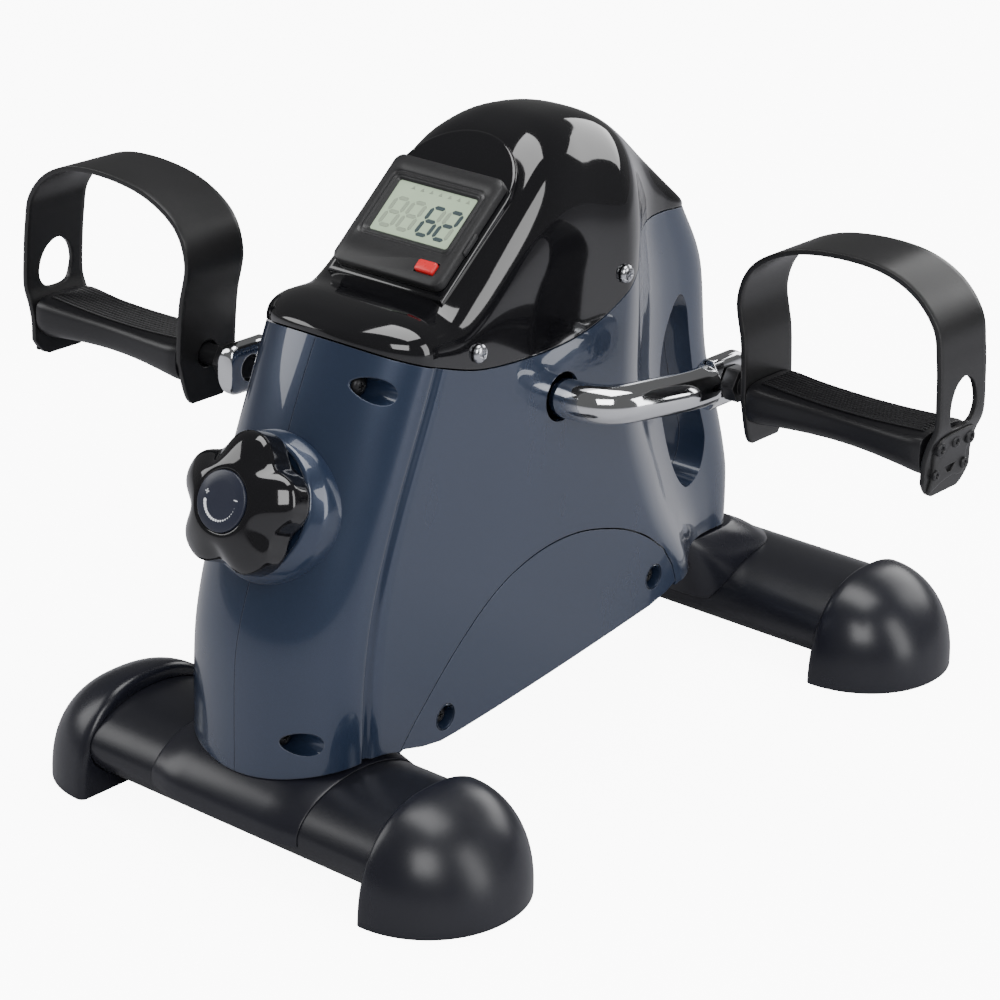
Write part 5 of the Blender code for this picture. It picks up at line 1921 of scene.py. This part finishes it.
@dataclass
class Pedal:
    """One pedal: ribbed tread, foot strap with its pegs, and outer plate."""

    finishes: Finishes
    repeats: Repeats
    side: Side
    middle: float = 155.0
    half_length: float = 46.0
    strap_width: float = 36.0
    strap_thick: float = 2.4
    run: Knots = (
        (-47.7, -22), (-47.7, 0), (-48.3, 14), (-49.6, 28), (-53.0, 47), (-46.5, 63), (-29, 73.5), (-6, 77.8),
        (19, 77), (37, 70), (48.5, 57.5), (51.6, 43), (53.0, 27), (53.3, 13), (50.2, 4), (48.4, -4),
        (48.2, -13), (47.4, -21),
    )
    window: tuple = (
        (2, 33), (8.5, 29), (11.3, 21), (10, 14), (7, 10.5), (0, 9.5), (-6, 10.5), (-9.5, 15), (-9, 23),
        (-5, 30),
    )
    spindle_bore: float = 5.4
    strap_bore: float = 6.5
    rib_step: float = 2.35

    @property
    def body_name(self) -> str:
        """The CAD body that this pedal rides on."""
        return f"pedal_{self.side.tag}"

    def place(self, out: float, y: float, up: float) -> Vector:
        """A point from its distance outwards from the tread's middle, and along and above the axis."""
        axis = CrankSet.pedal_axis(self.side)
        return Vector((self.side.value * (self.middle + out), axis.y + y, axis.z + up))

    def build(self) -> None:
        """Makes the pedal's pieces."""
        self._tread()
        self._ribs()
        self._strap()
        self._plate()

    @staticmethod
    def _top(share: float) -> float:
        """The tread's height above the axis, at this share of the way from its middle to its end."""
        return 8.6 - 2.2 * (1 - share**2)

    @staticmethod
    def _section(share: float, steps: int = 72) -> Pairs:
        """The tread's section: flat on top, round below, and waisted half way along.

        Args:
            share: the place, from -1 to 1 along the tread.
            steps: points round it.

        Returns:
            The section's (y, z) points.
        """
        waist = 1.0 - 0.17 * math.cos(share * math.pi / 2) ** 1.5
        top, bottom = Pedal._top(share), -13.0 + 3.4 * (1 - share**2)
        points = []
        for k in range(steps):
            angle = 2 * math.pi * (k + 0.5) / steps
            c, s = math.cos(angle), math.sin(angle)
            z = top * abs(s) ** 0.45 if s > 0 else bottom * abs(s) ** 0.8
            points.append((19.0 * waist * math.copysign(abs(c) ** 0.62, c), z))
        return points

    def _tread(self) -> None:
        """The moulded tread."""
        rings = []
        count = 40
        ends = {0: 0.955, 1: 0.988}
        for k in range(count + 1):
            share = -1 + 2 * k / count
            squeeze = ends.get(min(k, count - k), 1.0)
            out = self.half_length * (share if abs(share) < 1 else math.copysign(1.0, share))
            rings.append([self.place(out, y * squeeze, z * squeeze) for y, z in self._section(share)])
        tread = MeshKit.loft(f"tread_{self.side.tag}", rings)
        axis, out = CrankSet.pedal_axis(self.side), Vector((self.side.value, 0, 0))
        bore = MeshKit.rod(axis, out, self.spindle_bore, 104.0, 199.5, 40)
        MeshKit.combine(tread, [bore])
        stands_for = [f"pedal_body_{self.side.tag}"]
        MeshKit.finish(tread, self.body_name, self.finishes.pedal, stands_for, "black_plastic")

    def _ribs(self) -> None:
        """Fine ribs that run the tread's length, one shape repeated in a row."""
        half, high = 0.62, 0.95
        rise = [(half * 0.4, high), (half * 0.9, high * 0.6), (half, 0)]
        shape = [(-y, z) for y, z in reversed(rise)] + rise
        rings = []
        for k in range(33):
            share = -0.93 + 1.86 * k / 32
            fade = 1.0 if abs(share) < 0.9 else 0.4
            base = self._top(share) - 0.2
            rings.append([self.place(self.half_length * share, y, base + z * fade) for y, z in shape])
        rib = MeshKit.loft("rib", rings)
        count, name = 10, f"tread_ribs_{self.side.tag}"
        start, step = (0.0, -self.rib_step * (count - 1) / 2, 0.0), (0, self.rib_step, 0)
        ribs = self.repeats.in_row(name, rib, count, start, step, self.finishes.pedal)
        MeshKit.finish(ribs, self.body_name, self.finishes.pedal, (), "black_plastic")

    def _strap(self) -> None:
        """The foot strap, with an arched opening in its outer leg and a hole for the spindle."""
        run = Curves.path(self.run, 8)
        columns = 14
        points: list[Point] = []
        for i, (out, up) in enumerate(run):
            leg = min(i, len(run) - 1 - i) / 8
            half = self.strap_width / 2 * (0.55 + 0.45 * min(1.0, max(0.0, leg)) ** 0.6)
            points += [self.place(out, -half + 2 * half * k / columns, up) for k in range(columns + 1)]
        width = columns + 1
        faces = []
        for i in range(len(run) - 1):
            a, b = i * width, (i + 1) * width
            faces += [(a + k, a + k + 1, b + k + 1, b + k) for k in range(columns)]
        strap = MeshKit.mesh(f"foot_strap_{self.side.tag}", points, faces)
        thick = strap.modifiers.new("Thickness", "SOLIDIFY")
        thick.thickness = self.strap_thick * MM
        thick.offset = 0.0
        MeshKit.apply(strap)
        arch = Curves.loop(self.window, 8)
        axis, out = CrankSet.pedal_axis(self.side), Vector((self.side.value, 0, 0))
        reach = sorted((self.side.value * (self.middle + 40), self.side.value * (self.middle + 60)))
        window = MeshKit.prism("window", [(axis.y + y, axis.z + z) for y, z in arch], *reach)
        hole = MeshKit.rod(axis, out, self.strap_bore, self.middle - 60, self.middle - 40, 36)
        MeshKit.combine(strap, [window, hole])
        MeshKit.bevelled(strap, 0.5, 2, 40.0)
        stands_for = [f"pedal_strap_{self.side.tag}"]
        MeshKit.finish(strap, self.body_name, self.finishes.strap, stands_for, "strap_plastic")

    def _leg(self, up: float) -> float:
        """How far out the strap's outer leg stands at this height."""
        return Curves.value([(-21, 47.4), (-13, 48.2), (-4, 48.4), (4, 50.2), (13, 53.4), (27, 53.0)], up)

    def _plate(self) -> None:
        """The outer plate that follows the strap's leg, with a slot, pegs and a plain round mark."""
        knots = [
            (-12.4, 7.4), (0, 8.6), (12.4, 7.4), (14.2, 2), (13.2, -5), (14.0, -11.5), (10.5, -15.4),
            (3, -14.2), (-4, -15.2), (-10, -17.2), (-15.0, -18.6), (-13.4, -11), (-13.0, -5), (-14.2, 2),
        ]
        outline = Curves.loop(knots, 6)
        rings = []
        for lift, shrink in ((0.6, 0.0), (1.9, 0.0), (2.3, 0.25), (2.45, 0.7), (2.45, 1.8)):
            ring = Curves.grown(outline, -shrink) if shrink else outline
            rings.append([self.place(self._leg(up) + lift, y, up) for y, up in ring])
        plate = MeshKit.loft(f"strap_plate_{self.side.tag}", rings)
        axis = CrankSet.pedal_axis(self.side)
        corners = ((-4.6, -8.2), (4.6, -8.2), (1.2, -11.6), (-1.2, -11.6))
        slot = [(axis.y + y, axis.z + z) for y, z in corners]
        reach = sorted((self.side.value * (self.middle + 46), self.side.value * (self.middle + 56)))
        MeshKit.combine(plate, [MeshKit.prism("slot", slot, *reach)])
        stands_for = [f"pedal_plate_{self.side.tag}"]
        MeshKit.finish(plate, self.body_name, self.finishes.strap, stands_for, "black_plastic")
        profile = [(2.6, -2.6), (2.6, 0.9), (2.2, 1.3), (1.5, 1.4), (1.2, 1.0), (1.1, 0.3), (0.3, 0.2)]
        peg = MeshKit.turned("peg", profile, Vector(), Vector((0, 0, 1)), 24)
        way = (self.side.value, 0, 0)
        wanted = [(-11.6, 2.2, 1.25), (11.6, 2.2, 1.25)]
        wanted += [(-11.2, -10.4, 0.95), (11.2, -10.4, 0.95), (0.0, 3.0, 1.1)]
        places = [(self.place(self._leg(up) + 2.2, y, up), way, size) for y, up, size in wanted]
        small = ((-13.4, 20.0), (14.0, 18.0))
        places += [(self.place(self._leg(up) + 0.5, y, up), way, 0.5) for y, up in small]
        pegs = self.repeats.on_points(f"strap_pegs_{self.side.tag}", peg, places, self.finishes.pedal)
        MeshKit.finish(pegs, self.body_name, self.finishes.pedal, (), "black_plastic")


@dataclass
class Screws:
    """Every screw that shows, with a cross recess in its head."""

    finishes: Finishes
    repeats: Repeats
    outline: Outline

    def build(self) -> None:
        """Makes the bright hood screws and the black ones in the wells."""
        bright, dark = [], []
        bright_nodes, dark_nodes = [], []
        for side in Side:
            for key, y, z in (("front", -97.0, 217.5), ("rear", 5.0, 230.0)):
                bright.append(((side.value * (self._face(y, z) + 0.3), y, z), (side.value, 0, 0), 1.0))
                bright_nodes.append(f"screw_hood_{key}_{side.tag}")
            for key, y, z in (("front", -112.0, 50.0), ("rear", 39.0, 71.0)):
                dark.append(((side.value * 40.3, y, z), (side.value, 0, 0), 1.0))
                dark_nodes.append(f"screw_cover_{key}_{side.tag}")
        for key, y, z, seat in (("upper", -148.0, 210.0, 22.3), ("lower", -189.5, 59.5, 19.3)):
            dark.append(((seat, y, z), (1, 0, 0), 1.0))
            dark_nodes.append(f"screw_column_{key}")
        shown = self.repeats.on_points("hood_screws", self._screw(), bright, self.finishes.zinc)
        MeshKit.finish(shown, "stand", self.finishes.zinc, bright_nodes, "steel", math.radians(40))
        sunk = self.repeats.on_points("well_screws", self._screw(), dark, self.finishes.oxide)
        MeshKit.finish(sunk, "stand", self.finishes.oxide, dark_nodes, "dark_screw", math.radians(40))

    def _face(self, y: float, z: float) -> float:
        """Half the hood's width at this place.

        Args:
            y: the place along.
            z: the height.

        Returns:
            The half width.
        """
        low = Curves.value(self.outline.seam, y) + 0.8
        high = Curves.value(self.outline.hood_top, y)
        power = Curves.value(self.outline.hood_power, y)
        return self.outline.half_width * (1.0 - ((z - low) / (high - low)) ** power) ** (1 / power)

    @staticmethod
    def _screw() -> Object:
        """A pan-head screw along +Z with its seat at the origin.

        Returns:
            The screw.
        """
        profile = [(2.0, -5.0), (2.0, 0.0), (4.1, 0.0), (4.3, 0.25), (4.3, 0.9)]
        profile += [(4.05, 1.6), (3.4, 2.25), (2.4, 2.7), (1.0, 2.9)]
        head = MeshKit.turned("screw", profile, Vector(), Vector((0, 0, 1)), 32)
        sizes = ((4.0, 0.9, 2.4), (0.9, 4.0, 2.4))
        arms = [MeshKit.mesh("arm", *Base._box((0, 0, 2.6), size)) for size in sizes]
        MeshKit.combine(head, arms)
        return head


@dataclass
class Mechanism:
    """The hidden drive and frame, which keep their CAD shapes and get real finishes."""

    finishes: Finishes

    def dress(self) -> None:
        """Gives each hidden node its finish."""
        f = self.finishes
        wanted = {
            "frame_": f.painted, "tension_bracket": f.painted, "crank_bearing": f.zinc,
            "flywheel_axle": f.zinc, "flywheel_pulley": f.grey, "drive_pulley": f.grey,
            "brake_carrier": f.grey, "drive_belt": f.rubber, "brake_pad": f.felt, "speed_sensor": f.satin,
            "speed_magnet": f.zinc, "tension_screw": f.zinc, "circuit_board": f.board,
        }
        for name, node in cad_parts.items():
            found = [material for start, material in wanted.items() if name.startswith(start)]
            if name == "flywheel":
                found = [f.iron]
            if found:
                node.data.materials.clear()
                node.data.materials.append(found[0])
                LOG.info("%s keeps its CAD shape in %s", name, found[0].name)


# ---------------------------------------- studio


@dataclass
class Studio:
    """A pale floor, soft lights and the camera."""

    eye: Vector = Vector((0.888, -1.118, 0.682))
    aim: Vector = Vector((0.0, -0.022, 0.115))
    roll: float = math.radians(1.965)
    lens: float = 117.7
    sensor: float = 36.0
    surround: float = 0.62
    reflected: float = 0.14
    floor_glow: float = 9.0
    floor_reach: float = 6000.0
    floor_gap: float = 0.3

    def build(self) -> None:
        """Makes the floor, the lights, the world and the camera."""
        self._floor()
        self._world()
        self._light("key_softbox", (1.5, -1.6, 1.7), 1.3, 1.3, 34.0)
        self._light("side_softbox", (1.9, 0.5, 0.8), 0.7, 1.5, 16.0)
        self._light("fill_softbox", (-1.7, -1.0, 1.2), 1.0, 1.4, 16.0)
        self._light("top_softbox", (0.0, 0.2, 2.1), 1.6, 1.0, 30.0)
        self._light("rear_softbox", (0.2, 1.9, 1.0), 1.6, 0.8, 16.0)
        self._camera()

    def _floor(self) -> None:
        """A plain pale floor."""
        reach = self.floor_reach
        corners = ((-reach, -reach), (reach, -reach), (reach, reach), (-reach, reach))
        points = [(x, y, -self.floor_gap) for x, y in corners]
        floor = MeshKit.mesh("floor", points, [(0, 1, 2, 3)])
        paint = bpy.data.materials.new("floor_paint")
        paint.use_nodes = True
        tree = paint.node_tree
        shader = tree.nodes["Principled BSDF"]
        preset(shader, {"Roughness": 0.75, "Emission Color": (1.0, 1.0, 1.0, 1.0)})
        path = tree.nodes.new("ShaderNodeLightPath")
        glow = tree.nodes.new("ShaderNodeMath")
        glow.operation = "MULTIPLY"
        glow.inputs[1].default_value = self.floor_glow
        shade = tree.nodes.new("ShaderNodeMix")
        shade.data_type = "RGBA"
        preset(shade, {"A": (0.88, 0.88, 0.88, 1.0), "B": (0.34, 0.34, 0.36, 1.0)})
        join(tree, path, "Is Camera Ray", glow, 0)
        join(tree, glow, "Value", shader, "Emission Strength")
        join(tree, path, "Is Glossy Ray", shade, "Factor")
        join(tree, shade, "Result", shader, "Base Color")
        floor.data.materials.append(paint)

    def _world(self) -> None:
        """A plain bright surround that polished surfaces see much darker."""
        world = bpy.data.worlds.new("surround")
        world.use_nodes = True
        tree = world.node_tree
        back = tree.nodes["Background"]
        preset(back, {"Color": (1.0, 1.0, 1.0, 1.0)})
        path = tree.nodes.new("ShaderNodeLightPath")
        level = tree.nodes.new("ShaderNodeMapRange")
        preset(level, {"To Min": self.surround, "To Max": self.reflected})
        join(tree, path, "Is Glossy Ray", level, "Value")
        join(tree, level, "Result", back, "Strength")
        bpy.context.scene.world = world

    @staticmethod
    def _light(name: str, place: Point, wide: float, tall: float, watts: float) -> None:
        """An area light that faces the exerciser.

        Args:
            name: its name.
            place: where it stands, in metres.
            wide: its width in metres.
            tall: its height in metres.
            watts: its power.
        """
        data = bpy.data.lights.new(name, "AREA")
        data.shape = "RECTANGLE"
        data.size = wide
        data.size_y = tall
        data.energy = watts
        lamp = bpy.data.objects.new(name, data)
        lamp.location = place
        lamp.rotation_euler = (Vector((0, 0, 0.15)) - Vector(place)).to_track_quat("-Z", "Y").to_euler()
        bpy.context.scene.collection.objects.link(lamp)

    def _camera(self) -> None:
        """The camera, slightly rolled."""
        data = bpy.data.cameras.new("camera")
        data.lens = self.lens
        data.sensor_width = self.sensor
        camera = bpy.data.objects.new("camera", data)
        back = (self.eye - self.aim).normalized()
        right = Vector((0, 0, 1)).cross(back).normalized()
        up = back.cross(right)
        turned_right = right * math.cos(self.roll) + up * math.sin(self.roll)
        turned_up = up * math.cos(self.roll) - right * math.sin(self.roll)
        axes = Matrix((turned_right, turned_up, back)).transposed().to_4x4()
        camera.matrix_world = Matrix.Translation(self.eye) @ axes
        bpy.context.scene.collection.objects.link(camera)
        bpy.context.scene.camera = camera


def main() -> None:
    """Builds the exerciser's looks and the studio round it."""
    logging.basicConfig(level=logging.INFO, format="%(message)s")
    Studio().build()
    finishes = Finishes(Effects())
    repeats = Repeats()
    outline = Outline()
    Base(finishes).build()
    Housing(finishes, outline).build()
    Hood(finishes, outline).build()
    Console(finishes, repeats).build()
    Knob(finishes, repeats).build()
    CrankSet(finishes).build()
    for side in Side:
        Pedal(finishes, repeats, side).build()
    Screws(finishes, repeats, outline).build()
    Mechanism(finishes).dress()


if __name__ == "__main__":
    main()
